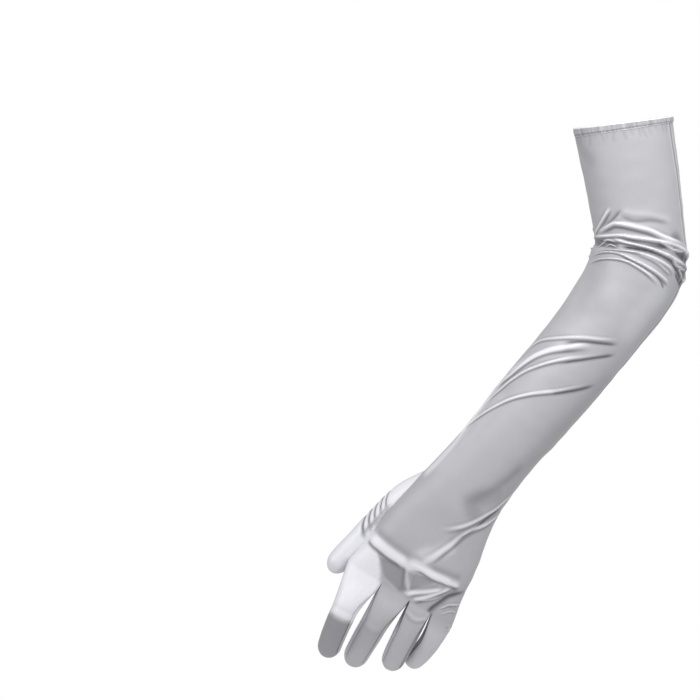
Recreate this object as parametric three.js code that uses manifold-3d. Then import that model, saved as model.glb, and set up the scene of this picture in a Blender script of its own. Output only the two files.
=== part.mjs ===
// Long satin opera glove for a left hand, in millimetres, +Z up.
// It keeps the form that it has when it is worn: the mouth is at the origin, the sleeve runs down past the
// elbow, and the fingers point down and to -X. The back of the hand faces -Y and the palm faces +Y.
import * as THREE from "three";
import { mergeVertices } from "three/addons/utils/BufferGeometryUtils.js";
import Module from "manifold-3d";

const wasm = await Module();
wasm.setup();

// Cloth and seams
const CLOTH = 1.5;
const SEAM_GAP = 0.6;
const HEM_HEIGHT = 6.5;
const HEM_THICKNESS = 2.6;
const HEM_PROUD = 0.5;

// Length along the limb from the cuff to the middle fingertip, and the stretches that share it
const GLOVE_LENGTH = 545;
const UPPER_LENGTH = GLOVE_LENGTH * 0.2165;
const FOREARM_LENGTH = GLOVE_LENGTH * 0.4605;
const PALM_LENGTH = GLOVE_LENGTH * 0.125;
const WEB_LENGTH = GLOVE_LENGTH * 0.0475;
const FINGER_LENGTH = GLOVE_LENGTH * 0.1505;
const THUMB_LENGTH = FINGER_LENGTH * 1.535;

// Widths across the back and depths from back to palm
const MOUTH = { width: 83.5, depth: 80 };
const ELBOW = { width: 80, depth: 77 };
const FOREARM = { width: 72, depth: 70 };
const WRIST = { width: 67, depth: 52 };
const KNUCKLES = { width: 93, depth: 33 };
const CROTCHES = { width: 102, depth: 24 };
const FINGER_WIDTH = 22.5;
const THUMB_WIDTH = 20;

// Places along the limb that the tables below measure from
const ELBOW_AT = UPPER_LENGTH;
const WRIST_AT = ELBOW_AT + FOREARM_LENGTH;
const KNUCKLES_AT = WRIST_AT + PALM_LENGTH;
const CROTCHES_AT = KNUCKLES_AT + WEB_LENGTH;
const onUpper = (share) => UPPER_LENGTH * share;
const onForearm = (share) => ELBOW_AT + FOREARM_LENGTH * share;
const onPalm = (share) => WRIST_AT + PALM_LENGTH * share;

// How the limb hangs, in degrees: its lean to +X and its tilt away from the viewer
const LIMB_TURNS = [
  { at: 0, lean: 7, away: 4 },
  { at: onUpper(0.12), lean: 10, away: 4 },
  { at: onUpper(0.55), lean: 8.5, away: 4 },
  { at: onUpper(0.85), lean: 4, away: 3 },
  { at: onUpper(1), lean: -14, away: 0 },
  { at: onForearm(0.12), lean: -33, away: -4 },
  { at: onForearm(0.3), lean: -38, away: -6 },
  { at: onForearm(0.5), lean: -41, away: -6 },
  { at: onForearm(0.8), lean: -40, away: -5 },
  { at: onForearm(0.96), lean: -38, away: -3 },
  { at: onPalm(0.15), lean: -34, away: 0 },
  { at: onPalm(0.45), lean: -31, away: 3 },
  { at: CROTCHES_AT, lean: -31, away: 9 },
];

// Sections of the sleeve and the palm, as shares of the named widths and depths
const LIMB_SECTIONS = [
  { at: 0, of: MOUTH, width: 1, depth: 1, full: 2.1 },
  { at: onUpper(0.25), of: MOUTH, width: 0.97, depth: 0.98, full: 2.1 },
  { at: onUpper(0.6), of: MOUTH, width: 0.93, depth: 0.95, full: 2.1 },
  { at: onUpper(0.84), of: ELBOW, width: 0.95, depth: 0.97, full: 2.1 },
  { at: onUpper(1), of: ELBOW, width: 1.02, depth: 1, full: 2.1 },
  { at: onForearm(0.1), of: ELBOW, width: 0.98, depth: 0.98, full: 2.1 },
  { at: onForearm(0.3), of: FOREARM, width: 1, depth: 1, full: 2.1 },
  { at: onForearm(0.6), of: FOREARM, width: 0.97, depth: 0.94, full: 2.1 },
  { at: onForearm(0.8), of: FOREARM, width: 0.91, depth: 0.85, full: 2.1 },
  { at: onForearm(0.92), of: WRIST, width: 1.02, depth: 1.03, full: 2.15 },
  { at: onPalm(0.05), of: WRIST, width: 1.09, depth: 0.93, full: 2.2 },
  { at: onPalm(0.45), of: KNUCKLES, width: 0.9, depth: 1.2, full: 2.4 },
  { at: onPalm(0.75), of: KNUCKLES, width: 0.97, depth: 1.1, full: 2.5 },
  { at: KNUCKLES_AT, of: KNUCKLES, width: 1, depth: 1, full: 2.5 },
  { at: CROTCHES_AT, of: CROTCHES, width: 1, depth: 1, full: 2.5 },
];

// Rings of the sleeve: how far each stretch goes and about how far apart its rings are
const LIMB_RINGS = [
  { to: onUpper(0.7), apart: 14 },
  { to: onForearm(0.12), apart: 4 },
  { to: onForearm(0.25), apart: 9 },
  { to: onForearm(0.68), apart: 8 },
  { to: onForearm(0.94), apart: 11 },
  { to: CROTCHES_AT, apart: 9 },
];

// Folds of the cloth: where each starts and ends, as a place along the limb and an angle round it in
// degrees from +X through the viewer's side, and its height, breadth and bow as shares of the sizes
const FOLD_HEIGHT = 3;
const FOLD_BREADTH = 5;
const FOLD_BOW = 8;
const FOLDS = [
  // the slack gathered at the elbow, on the side of the back of the hand
  { from: [onUpper(0.77), 176], to: [onUpper(0.92), 2], height: 1, breadth: 0.8, bow: 0.7 },
  { from: [onUpper(0.86), 168], to: [onUpper(0.98), -6], height: 0.8, breadth: 0.7, bow: 0.2 },
  { from: [onUpper(0.96), 186], to: [onForearm(0.01), 44], height: 0.9, breadth: 0.7, bow: 0.5 },
  { from: [onForearm(0.09), 182], to: [onForearm(0.05), 60], height: 0.8, breadth: 0.7, bow: 0.8 },
  // and on the side of the palm
  { from: [onUpper(0.79), 172], to: [onUpper(0.9), 318], height: 1, breadth: 0.8, bow: -0.5 },
  { from: [onUpper(0.89), 178], to: [onUpper(1), 340], height: 0.8, breadth: 0.8, bow: -0.3 },
  { from: [onForearm(0.04), 170], to: [onForearm(0.02), 306], height: 0.9, breadth: 0.8, bow: -0.7 },
  // drag folds of the forearm
  { from: [onForearm(0.48), 170], to: [onForearm(0.26), 56], height: 0.5, breadth: 0.9, bow: 0.3 },
  { from: [onForearm(0.63), 176], to: [onForearm(0.31), 52], height: 0.6, breadth: 1, bow: 0.3 },
  { from: [onForearm(0.82), 158], to: [onForearm(0.42), 46], height: 0.5, breadth: 1.1, bow: 0.3 },
  { from: [onForearm(0.5), 190], to: [onForearm(0.3), 296], height: 0.5, breadth: 1.1, bow: -0.3 },
  // the knuckles, the hollows below them and the pull towards the outer side of the wrist
  { from: [onPalm(1.02), 150], to: [onPalm(0.95), 36], height: 0.6, breadth: 1, bow: 0.4 },
  { from: [onPalm(1.04), 92], to: [onPalm(0.09), 30], height: 0.4, breadth: 1, bow: 0.2 },
  { from: [onPalm(1.02), 104], to: [onPalm(1.38), 96], height: -0.5, breadth: 1, bow: 0 },
  { from: [onForearm(0.84), 26], to: [onPalm(0.5), 84], height: 0.4, breadth: 0.9, bow: -0.3 },
  // the ball of the thumb and the hollow of the palm
  { from: [onPalm(-0.15), 215], to: [onPalm(0.95), 222], height: 1.2, breadth: 2.6, bow: 0 },
  { from: [onPalm(0.3), 275], to: [onPalm(1.2), 262], height: -0.9, breadth: 2.6, bow: 0 },
];

// Fingers, from the outer edge of the hand: length and width as shares of the middle finger's, the
// share of the palm's half width where the finger meets the next one, and leans and curls at its joints
const FINGER_JOINTS = [0, 0.32, 0.56, 1];
const FINGERS = [
  {
    name: "little",
    length: 0.805,
    width: 0.8,
    ends: 0.61,
    lean: [-24, -30, -35, -43],
    curl: [20, 30, 42, 50],
  },
  {
    name: "ring",
    length: 0.865,
    width: 0.935,
    ends: 0.19,
    lean: [-28, -27, -25, -23],
    curl: [12, 18, 30, 35],
  },
  {
    name: "middle",
    length: 1,
    width: 1,
    ends: -0.35,
    lean: [-31, -31, -29, -27],
    curl: [6, 9, 24, 28],
  },
  {
    name: "index",
    length: 1.06,
    width: 0.955,
    ends: -1,
    lean: [-24, -27, -23, -17],
    curl: [-8, -10, 24, 30],
  },
];
const FINGER_ROUND = 2.15;
const FINGER_DEPTH_SHARE = 0.9;
const FINGER_TAPER = [
  { at: 0, size: 1.08 },
  { at: 0.35, size: 1.03 },
  { at: 0.7, size: 0.98 },
  { at: 1, size: 0.88 },
];
const FINGER_BLEND = 0.45;
const TIP_SHARE = 0.55;
const CROTCH_DIP = 2;
const FOURCHETTE_ANGLE = 84;

// Thumb: its root inside the palm, and its turns
const THUMB = {
  rootAt: onPalm(-0.07),
  rootAcross: -0.59,
  rootDeep: 0.15,
  lean: [-60, -54, -47, -41],
  curl: [10, 9, 8, 6],
};
const THUMB_TAPER = [
  { at: 0, size: 1.1 },
  { at: 0.28, size: 1.45 },
  { at: 0.5, size: 1.22 },
  { at: 0.7, size: 1.03 },
  { at: 0.88, size: 1 },
  { at: 1, size: 0.88 },
];
// Gathers round the thumb, between two shares of its length
const GATHERS = { from: 0.42, to: 0.74, count: 6, height: 0.9 };

// Facets round a finger's back, a crotch and the thumb, and along each of them
const BACK_FACETS = 4;
const CROTCH_FACETS = 3;
const THUMB_FACETS = 16;
const FINGER_RINGS = 6;
const THUMB_RINGS = 22;
const TIP_RINGS = 3;
const AXIS_STEP = 2;

const FACETS = 2 * BACK_FACETS * FINGERS.length;
const BODY = "glove_body";
const FULL_TURN = 2 * Math.PI;
const FULL_TURN_DEGREES = 360;
const radians = THREE.MathUtils.degToRad;
const { lerp, smoothstep, clamp } = THREE.MathUtils;

// Smooth reading of one column of a table at a place between its rows
function read(rows, at, column) {
  const last = rows.length - 1;
  if (at <= rows[0].at) return column(rows[0]);
  if (at >= rows[last].at) return column(rows[last]);
  const i = rows.findIndex((row) => row.at > at) - 1;
  const slope = (k) => {
    const before = rows[Math.max(k - 1, 0)];
    const after = rows[Math.min(k + 1, last)];
    return (column(after) - column(before)) / (after.at - before.at);
  };
  const gap = rows[i + 1].at - rows[i].at;
  const u = (at - rows[i].at) / gap;
  const start = column(rows[i]);
  const end = column(rows[i + 1]);
  const eased = u * u * (3 - 2 * u);
  const leaving = slope(i) * gap * u * (1 - u) * (1 - u);
  const arriving = slope(i + 1) * gap * u * u * (1 - u);
  return lerp(start, end, eased) + leaving - arriving;
}

// The three directions at a place on an axis: along it, across it to +X, and deep, away from the viewer
function directions(lean, away) {
  const level = Math.cos(away);
  const along = new THREE.Vector3(Math.sin(lean) * level, Math.sin(away), -Math.cos(lean) * level);
  const across = new THREE.Vector3(Math.cos(lean), 0, Math.sin(lean));
  const deep = new THREE.Vector3().crossVectors(across, along);
  return { along, across, deep };
}

// An axis that starts at a point and follows a table of turns, as a function of the place along it
function axisFrom(start, length, turns) {
  const steps = Math.ceil(length / AXIS_STEP);
  const step = length / steps;
  const turnAt = (at) =>
    directions(
      radians(read(turns, at, (row) => row.lean)),
      radians(read(turns, at, (row) => row.away)),
    );
  const points = [start.clone()];
  for (let i = 0; i < steps; i++) {
    points.push(points[i].clone().addScaledVector(turnAt((i + 0.5) * step).along, step));
  }
  return (at) => {
    const i = clamp(Math.floor(at / step), 0, steps - 1);
    const centre = points[i].clone().lerp(points[i + 1], at / step - i);
    return { centre, ...turnAt(at) };
  };
}

// A point of an oval section; a fullness of 2 is an ellipse and more is squarer
function onSection(frame, width, depth, full, angle) {
  const rounded = (value) => Math.sign(value) * Math.abs(value) ** (2 / full);
  return frame.centre
    .clone()
    .addScaledVector(frame.across, (width / 2) * rounded(Math.cos(angle)))
    .addScaledVector(frame.deep, (-depth / 2) * rounded(Math.sin(angle)));
}

const limb = axisFrom(new THREE.Vector3(), CROTCHES_AT, LIMB_TURNS);

function limbSize(at) {
  return {
    width: read(LIMB_SECTIONS, at, (row) => row.of.width * row.width),
    depth: read(LIMB_SECTIONS, at, (row) => row.of.depth * row.depth),
    full: read(LIMB_SECTIONS, at, (row) => row.full),
  };
}

// Height of the folds at a place on the sleeve
function foldHeight(at, angle, size) {
  const radius = (size.width + size.depth) / 4;
  let height = 0;
  for (const fold of FOLDS) {
    const [fromAt, fromAngle] = fold.from;
    const [toAt, toAngle] = fold.to;
    const middle = radians(fromAngle + toAngle) / 2;
    const turned = THREE.MathUtils.euclideanModulo(angle - middle + Math.PI, FULL_TURN) - Math.PI;
    const run = new THREE.Vector2(toAt - fromAt, radians(toAngle - fromAngle) * radius);
    const here = new THREE.Vector2(at - (fromAt + toAt) / 2, turned * radius);
    const length = run.length();
    const share = here.dot(run) / (length * length) + 0.5;
    if (share <= 0 || share >= 1) continue;
    const side = here.cross(run) / length - FOLD_BOW * fold.bow * 4 * share * (1 - share);
    const breadth = FOLD_BREADTH * fold.breadth;
    const taper = Math.sqrt(Math.sin(Math.PI * share));
    height += FOLD_HEIGHT * fold.height * taper * Math.exp(-((side / breadth) ** 2));
  }
  return height;
}

function limbPoint(at, angle) {
  const size = limbSize(at);
  const frame = limb(at);
  const point = onSection(frame, size.width, size.depth, size.full, angle);
  const outward = point.clone().sub(frame.centre).normalize();
  return point.addScaledVector(outward, foldHeight(at, angle, size));
}

// Angles of the vertices round the limb: even round the sleeve, and with whole fingers' backs at the
// crotches, so that each finger goes on from its own share of the last ring
function ringAngles(at) {
  const full = limbSize(CROTCHES_AT).full;
  const toFingers = smoothstep(at, WRIST_AT, KNUCKLES_AT);
  const ends = [0];
  FINGERS.forEach((finger, i) => {
    const even = (Math.PI * (i + 1)) / FINGERS.length;
    const share = Math.sign(finger.ends) * Math.abs(finger.ends) ** (full / 2);
    ends.push(lerp(even, Math.acos(share), toFingers));
  });
  const front = [];
  for (let i = 0; i < FINGERS.length; i++) {
    for (let k = 0; k < BACK_FACETS; k++) {
      front.push(lerp(ends[i], ends[i + 1], k / BACK_FACETS));
    }
  }
  const back = front.map((angle) => FULL_TURN - angle).slice(1);
  return [...front, Math.PI, ...back.reverse()];
}

function limbRing(at) {
  return ringAngles(at).map((angle) => limbPoint(at, angle));
}

function limbStations() {
  const stations = [HEM_HEIGHT + SEAM_GAP];
  for (const stretch of LIMB_RINGS) {
    const from = stations.at(-1);
    const count = Math.max(1, Math.round((stretch.to - from) / stretch.apart));
    for (let i = 1; i <= count; i++) {
      stations.push(lerp(from, stretch.to, i / count));
    }
  }
  return stations;
}

// A skin of triangles without thickness, each one marked with the piece of cloth that it belongs to
class Skin {
  constructor() {
    this.corners = [];
    this.pieces = [];
  }
  triangle(piece, a, b, c) {
    this.corners.push(a, b, c);
    this.pieces.push(piece);
  }
  strip(first, second, pieceAt) {
    first.forEach((a, i) => {
      const next = (i + 1) % first.length;
      this.triangle(pieceAt(i), a, second[next], second[i]);
      this.triangle(pieceAt(i), a, first[next], second[next]);
    });
  }
  tube(rings, pieceAt) {
    for (let i = 1; i < rings.length; i++) {
      this.strip(rings[i - 1], rings[i], (column) => pieceAt(column, i));
    }
  }
  fan(ring, tip, piece) {
    ring.forEach((a, i) => this.triangle(piece, a, ring[(i + 1) % ring.length], tip));
  }
  // Merges the corners that meet and finds the outward direction at each of them
  weld() {
    const geometry = mergeVertices(new THREE.BufferGeometry().setFromPoints(this.corners));
    geometry.computeVertexNormals();
    const vectors = (attribute) => {
      const list = [];
      for (let i = 0; i < attribute.count; i++) {
        list.push(new THREE.Vector3().fromBufferAttribute(attribute, i));
      }
      return list;
    };
    this.points = vectors(geometry.attributes.position);
    this.normals = vectors(geometry.attributes.normal);
    this.faces = [];
    for (let i = 0; i < this.pieces.length; i++) {
      this.faces.push([...geometry.index.array.slice(3 * i, 3 * i + 3)]);
    }
    return this;
  }
  // Turns the outward direction at a point towards another one, where the walls beside it cancel out
  face(point, direction) {
    const nearest = this.points.map((other) => other.distanceToSquared(point));
    this.normals[nearest.indexOf(Math.min(...nearest))].add(direction).normalize();
  }
  facesOf(piece) {
    return this.faces.filter((face, i) => this.pieces[i] === piece);
  }
  moved(distance) {
    return this.points.map((point, i) => point.clone().addScaledVector(this.normals[i], distance));
  }
}

// Where a finger's round tip starts
function tipStart(width, length) {
  return length - width * TIP_SHARE;
}

// Sizes along a finger: its taper, then a round tip
function fingerSize(taper, width, length, at) {
  const tipFrom = tipStart(width, length);
  const size = width * read(taper, at / length, (row) => row.size);
  const intoTip = clamp((at - tipFrom) / (length - tipFrom), 0, 1);
  return size * Math.sqrt(Math.max(0, 1 - intoTip * intoTip));
}

function fingerStations(width, length, rings) {
  const tipFrom = tipStart(width, length);
  const stations = [];
  for (let i = 0; i < rings; i++) stations.push((tipFrom * i) / (rings - 1));
  for (let i = 1; i < TIP_RINGS; i++) {
    stations.push(lerp(tipFrom, length, Math.sin((Math.PI / 2) * (i / TIP_RINGS))));
  }
  return stations;
}

function fingerAxis(turns, length, root) {
  const rows = FINGER_JOINTS.map((share, i) => ({
    at: length * share,
    lean: turns.lean[i],
    away: turns.curl[i],
  }));
  return axisFrom(root, length, rows);
}

// The crotch between a finger and the next one, from the back of the hand to the palm
function crotchPoints(index, lastRing) {
  const { along } = limb(CROTCHES_AT);
  const front = lastRing[(index + 1) * BACK_FACETS];
  const palm = lastRing[FACETS - (index + 1) * BACK_FACETS];
  const points = [front];
  for (let i = 1; i < CROTCH_FACETS; i++) {
    const share = i / CROTCH_FACETS;
    const dip = -CROTCH_DIP * Math.sin(Math.PI * share);
    points.push(front.clone().lerp(palm, share).addScaledVector(along, dip));
  }
  return [...points, palm];
}

function fourchetteName(index) {
  return `fourchette_${FINGERS[index + 1].name}_${FINGERS[index].name}`;
}

// The ring of a finger's root, on the last ring of the palm, with the angle of each vertex round the
// finger and the piece of cloth that starts there
function fingerRoot(index, lastRing, crotches) {
  const isOuter = index === 0;
  const isInner = index === FINGERS.length - 1;
  const front = lastRing.slice(index * BACK_FACETS, (index + 1) * BACK_FACETS);
  const palmFrom = FACETS - (index + 1) * BACK_FACETS;
  const palm = lastRing.slice(palmFrom, palmFrom + BACK_FACETS);
  const start = isOuter ? 0 : FOURCHETTE_ANGLE / 2;
  const end = isInner ? 180 : 180 - FOURCHETTE_ANGLE / 2;
  const root = [];
  const put = (points, from, to, piece) => {
    points.forEach((point, i) => {
      root.push({ point, piece, angle: radians(lerp(from, to, i / points.length)) });
    });
  };
  put(front, start, end, BODY);
  if (!isInner) {
    put(crotches[index].slice(0, -1), end, FULL_TURN_DEGREES - end, fourchetteName(index));
  }
  put(palm, FULL_TURN_DEGREES - end, FULL_TURN_DEGREES - start, BODY);
  if (!isOuter) {
    const turnedBack = [...crotches[index - 1]].reverse().slice(0, -1);
    put(turnedBack, FULL_TURN_DEGREES - start, FULL_TURN_DEGREES + start, fourchetteName(index - 1));
  }
  return root;
}

function centreOf(points) {
  const sum = new THREE.Vector3();
  points.forEach((point) => sum.add(point));
  return sum.divideScalar(points.length);
}

function fingerRings(finger, root) {
  const length = FINGER_LENGTH * finger.length;
  const fullWidth = FINGER_WIDTH * finger.width;
  const centre = centreOf(root.map((vertex) => vertex.point));
  const axis = fingerAxis(finger, length, centre);
  const rings = fingerStations(fullWidth, length, FINGER_RINGS).map((at) => {
    const frame = axis(at);
    const width = fingerSize(FINGER_TAPER, fullWidth, length, at);
    const own = smoothstep(at / length, 0, FINGER_BLEND);
    const moved = frame.centre.clone().sub(centre);
    return root.map((vertex) => {
      const round = onSection(frame, width, width * FINGER_DEPTH_SHARE, FINGER_ROUND, vertex.angle);
      return vertex.point.clone().add(moved).lerp(round, own);
    });
  });
  return { root, rings, tip: axis(length).centre };
}

// The outer skin of the glove without its thumb
function gloveSkin() {
  const skin = new Skin();
  skin.tube(limbStations().map(limbRing), () => BODY);
  const lastRing = limbRing(CROTCHES_AT);
  const crotches = FINGERS.slice(1).map((finger, index) => crotchPoints(index, lastRing));
  FINGERS.forEach((finger, index) => {
    const { root, rings, tip } = fingerRings(finger, fingerRoot(index, lastRing, crotches));
    skin.tube(rings, (column, ring) => (ring < FINGER_RINGS ? root[column].piece : BODY));
    skin.fan(rings.at(-1), tip, BODY);
  });
  skin.weld();
  crotches.flat().forEach((point) => skin.face(point, limb(CROTCHES_AT).along));
  return skin;
}

function gatherHeight(share) {
  const inside = (share - GATHERS.from) / (GATHERS.to - GATHERS.from);
  if (inside <= 0 || inside >= 1) return 0;
  return GATHERS.height * Math.sin(Math.PI * GATHERS.count * inside) ** 2;
}

// The outer skin of the thumb, from its root inside the palm
function thumbSkin() {
  const frame = limb(THUMB.rootAt);
  const palm = limbSize(THUMB.rootAt);
  const root = frame.centre
    .clone()
    .addScaledVector(frame.across, (palm.width / 2) * THUMB.rootAcross)
    .addScaledVector(frame.deep, (palm.depth / 2) * THUMB.rootDeep);
  const axis = fingerAxis(THUMB, THUMB_LENGTH, root);
  const rings = fingerStations(THUMB_WIDTH, THUMB_LENGTH, THUMB_RINGS).map((at) => {
    const size = fingerSize(THUMB_TAPER, THUMB_WIDTH, THUMB_LENGTH, at);
    const width = size + 2 * gatherHeight(at / THUMB_LENGTH);
    const ring = [];
    for (let i = 0; i < THUMB_FACETS; i++) {
      const angle = (FULL_TURN * i) / THUMB_FACETS;
      ring.push(onSection(axis(at), width, width * FINGER_DEPTH_SHARE, FINGER_ROUND, angle));
    }
    return ring;
  });
  const skin = new Skin();
  skin.tube(rings, () => "thumb");
  skin.fan(rings.at(-1), axis(THUMB_LENGTH).centre, "thumb");
  return skin.weld();
}

// Edges that only one face uses
function openEdges(faces) {
  const edges = new Map();
  for (const face of faces) {
    face.forEach((from, k) => {
      const to = face[(k + 1) % 3];
      const opposite = `${to} ${from}`;
      if (edges.has(opposite)) edges.delete(opposite);
      else edges.set(`${from} ${to}`, [from, to]);
    });
  }
  return [...edges.values()];
}

function toSolid(points, faces) {
  const places = new Map();
  const used = faces.flat().map((i) => {
    if (!places.has(i)) places.set(i, places.size);
    return places.get(i);
  });
  const vertProperties = Float32Array.from([...places.keys()].flatMap((i) => points[i].toArray()));
  const mesh = new wasm.Mesh({ numProp: 3, vertProperties, triVerts: Uint32Array.from(used) });
  return new wasm.Manifold(mesh);
}

// A solid filled out to a skin that is moved outwards by a distance, with a flat lid on its mouth
function filled(skin, distance) {
  const points = skin.moved(distance);
  const rim = openEdges(skin.faces);
  const lid = points.length;
  points.push(centreOf(rim.map(([from]) => points[from])));
  return toSolid(points, [...skin.faces, ...rim.map(([from, to]) => [to, from, lid])]);
}

// The cut edge of a cloth, split the same way on both sides of a seam
function cutEdge(from, to, count) {
  if (from < to) {
    return [
      [to, from, to + count],
      [from, from + count, to + count],
    ];
  }
  return [
    [to, from, from + count],
    [to, from + count, to + count],
  ];
}

// One piece of the cloth, with its thickness on the inner side of the skin
function cloth(skin, piece, outer = skin.points) {
  const count = outer.length;
  const inner = outer.map((point, i) => point.clone().addScaledVector(skin.normals[i], -CLOTH));
  const faces = skin.facesOf(piece);
  const lining = faces.map(([a, b, c]) => [a + count, c + count, b + count]);
  const rim = openEdges(faces).flatMap((edge) => cutEdge(...edge, count));
  return toSolid([...outer, ...inner], [...faces, ...lining, ...rim]);
}

// The skin's points with a piece drawn in from its edges, so that it clears the pieces sewn to it
function drawnIn(skin, piece, distance) {
  const faces = skin.facesOf(piece);
  const edge = new Set(openEdges(faces).flat());
  const points = [...skin.points];
  for (const i of edge) {
    const near = faces.filter((face) => face.includes(i)).flat();
    const inside = near.filter((k) => !edge.has(k));
    const towards = centreOf((inside.length ? inside : near).map((k) => skin.points[k]));
    const inwards = towards.sub(skin.points[i]).setLength(distance);
    points[i] = skin.points[i].clone().add(inwards);
  }
  return points;
}

// The doubled rim round the mouth
function cuffHem() {
  const inner = HEM_PROUD - HEM_THICKNESS;
  const edge = HEM_THICKNESS / 3;
  const profile = [
    { at: HEM_HEIGHT, out: HEM_PROUD },
    { at: HEM_HEIGHT, out: inner },
    { at: edge, out: inner },
    { at: 0, out: inner + edge },
    { at: 0, out: HEM_PROUD - edge },
    { at: edge, out: HEM_PROUD },
  ];
  const rings = profile.map(({ at, out }) =>
    limbRing(at).map((point) => {
      const outward = point.clone().sub(limb(at).centre).normalize();
      return point.addScaledVector(outward, out);
    }),
  );
  const skin = new Skin();
  skin.tube([...rings, rings[0]], () => "cuff_hem");
  skin.weld();
  return toSolid(skin.points, skin.faces);
}

function finish(name, solid, color) {
  const mesh = solid.getMesh();
  const geometry = new THREE.BufferGeometry();
  geometry.setAttribute("position", new THREE.BufferAttribute(mesh.vertProperties, 3));
  geometry.setIndex(new THREE.BufferAttribute(mesh.triVerts, 1));
  const satin = new THREE.MeshStandardMaterial({ color, roughness: 0.35, metalness: 0 });
  const shown = new THREE.Mesh(geometry, satin);
  shown.name = name;
  return shown;
}

// Cutting and sewing the pieces
const glove = gloveSkin();
const thumb = thumbSkin();
const group = new THREE.Group();
group.add(finish(BODY, cloth(glove, BODY).subtract(filled(thumb, -CLOTH)), 0xb9bac0));
group.add(finish("thumb", cloth(thumb, "thumb").subtract(filled(glove, SEAM_GAP)), 0xc4c5ca));
for (let i = 0; i < FINGERS.length - 1; i++) {
  const name = fourchetteName(i);
  group.add(finish(name, cloth(glove, name, drawnIn(glove, name, SEAM_GAP)), 0x9fa0a6));
}
group.add(finish("cuff_hem", cuffHem(), 0xaeafb5));

export default group;
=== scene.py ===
# Long satin opera glove for a left hand, in metres, in the form that it has when it is worn.
# The mouth is at the origin, the fingers point down and to -X, and the back of the hand faces -Y.
import math

import bpy
import numpy as np
from mathutils import Matrix, Vector
from mathutils.bvhtree import BVHTree


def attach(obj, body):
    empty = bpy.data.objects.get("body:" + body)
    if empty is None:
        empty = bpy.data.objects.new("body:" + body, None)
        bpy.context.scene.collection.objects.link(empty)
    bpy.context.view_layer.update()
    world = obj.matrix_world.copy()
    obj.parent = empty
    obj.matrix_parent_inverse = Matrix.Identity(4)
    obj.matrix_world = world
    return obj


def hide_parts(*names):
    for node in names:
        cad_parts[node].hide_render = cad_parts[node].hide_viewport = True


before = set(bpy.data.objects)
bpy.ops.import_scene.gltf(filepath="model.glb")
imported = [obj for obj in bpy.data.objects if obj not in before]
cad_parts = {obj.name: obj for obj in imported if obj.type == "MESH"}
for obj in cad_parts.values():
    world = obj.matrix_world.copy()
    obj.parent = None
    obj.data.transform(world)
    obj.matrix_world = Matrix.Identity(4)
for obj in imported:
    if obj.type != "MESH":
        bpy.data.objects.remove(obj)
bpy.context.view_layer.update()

bpy.ops.object.select_all(action="DESELECT")

# Lengths along the limb, from the mouth to the middle fingertip
GLOVE_LENGTH = 0.545
UPPER_LENGTH = GLOVE_LENGTH * 0.2165
FOREARM_LENGTH = GLOVE_LENGTH * 0.4605
PALM_LENGTH = GLOVE_LENGTH * 0.125
WEB_LENGTH = GLOVE_LENGTH * 0.0475
FINGER_LENGTH = GLOVE_LENGTH * 0.1505
THUMB_LENGTH = FINGER_LENGTH * 1.535
WRIST_AT = UPPER_LENGTH + FOREARM_LENGTH
KNUCKLES_AT = WRIST_AT + PALM_LENGTH
CROTCHES_AT = KNUCKLES_AT + WEB_LENGTH

# Widths across the back of the hand and depths from the back to the palm
MOUTH = (0.0835, 0.080)
ELBOW = (0.080, 0.077)
FOREARM = (0.072, 0.070)
WRIST = (0.067, 0.052)
KNUCKLES = (0.093, 0.033)
CROTCHES = (0.102, 0.024)
FINGER_WIDTH = 0.0225
THUMB_WIDTH = 0.020
FINGER_DEPTH_SHARE = 0.9
FINGER_ROUND = 2.15

# Cloth and its lining, which shows only through the mouth and keeps this share of its faces
CLOTH = 0.0008
LINING_RATIO = 0.62
SMOOTH_ANGLE = 60
TINY = 1e-12

# Hem: sizes, the waves round it, how deep they are at its rim and at its stitching, and the painted
# shading that follows them
HEM_HEIGHT = 0.0065
HEM_PROUD = 0.0005
HEM_THICKNESS = 0.0022
HEM_INNER = HEM_PROUD - HEM_THICKNESS
HEM_EDGE = HEM_THICKNESS / 3
HEM_COLUMNS = 288
HEM_WAVES = (17, 29, 41, 67)
HEM_RIM_WAVE = 0.0001
HEM_STITCHED_WAVE = 0.00016
HEM_WAVE_PAINTED_SHADING = 0.3

# The hem's section, up inside, over the rim and down outside: place, how far out it stands, and tone: a
# painted highlight along the rim and painted shade in the stitching's groove
HEM_PROFILE = [
    (HEM_HEIGHT, HEM_INNER, 0),
    (HEM_HEIGHT * 0.55, HEM_INNER, 0),
    (HEM_EDGE, HEM_INNER, 0),
    (HEM_EDGE * 0.3, HEM_INNER + HEM_EDGE * 0.25, 0.4),
    (0, HEM_INNER + HEM_EDGE, 0.9),
    (0, HEM_PROUD - HEM_EDGE, 1),
    (HEM_EDGE * 0.3, HEM_PROUD - HEM_EDGE * 0.25, 1),
    (HEM_EDGE, HEM_PROUD, 0.9),
    (HEM_EDGE * 1.7, HEM_PROUD, -0.15),
    (HEM_HEIGHT * 0.45, HEM_PROUD * 1.2, -0.05),
    (HEM_HEIGHT * 0.65, HEM_PROUD, 0.1),
    (HEM_HEIGHT * 0.76, HEM_PROUD * 0.2, -0.5),
    (HEM_HEIGHT * 0.82, 0, -0.8),
    (HEM_HEIGHT * 0.88, HEM_PROUD * 0.4, -0.5),
    (HEM_HEIGHT * 0.96, HEM_PROUD * 0.8, 0.5),
    (HEM_HEIGHT, HEM_PROUD * -0.2, 0.2),
]

# Stitches in the hem's groove, and how far each one's ends are drawn down: shares of its half, drops
STITCHES_AT = HEM_HEIGHT * 0.82
STITCH_LENGTH = 0.0021
STITCH_SPACING = 0.0028
STITCH_RADIUS = 0.00022
STITCH_LIFT = 0.00031
STITCH_DROPS = [(0.6, 0.00007), (0.85, 0.00016)]
STITCH_SIDES = 8
STITCH_RINGS = 8
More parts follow.
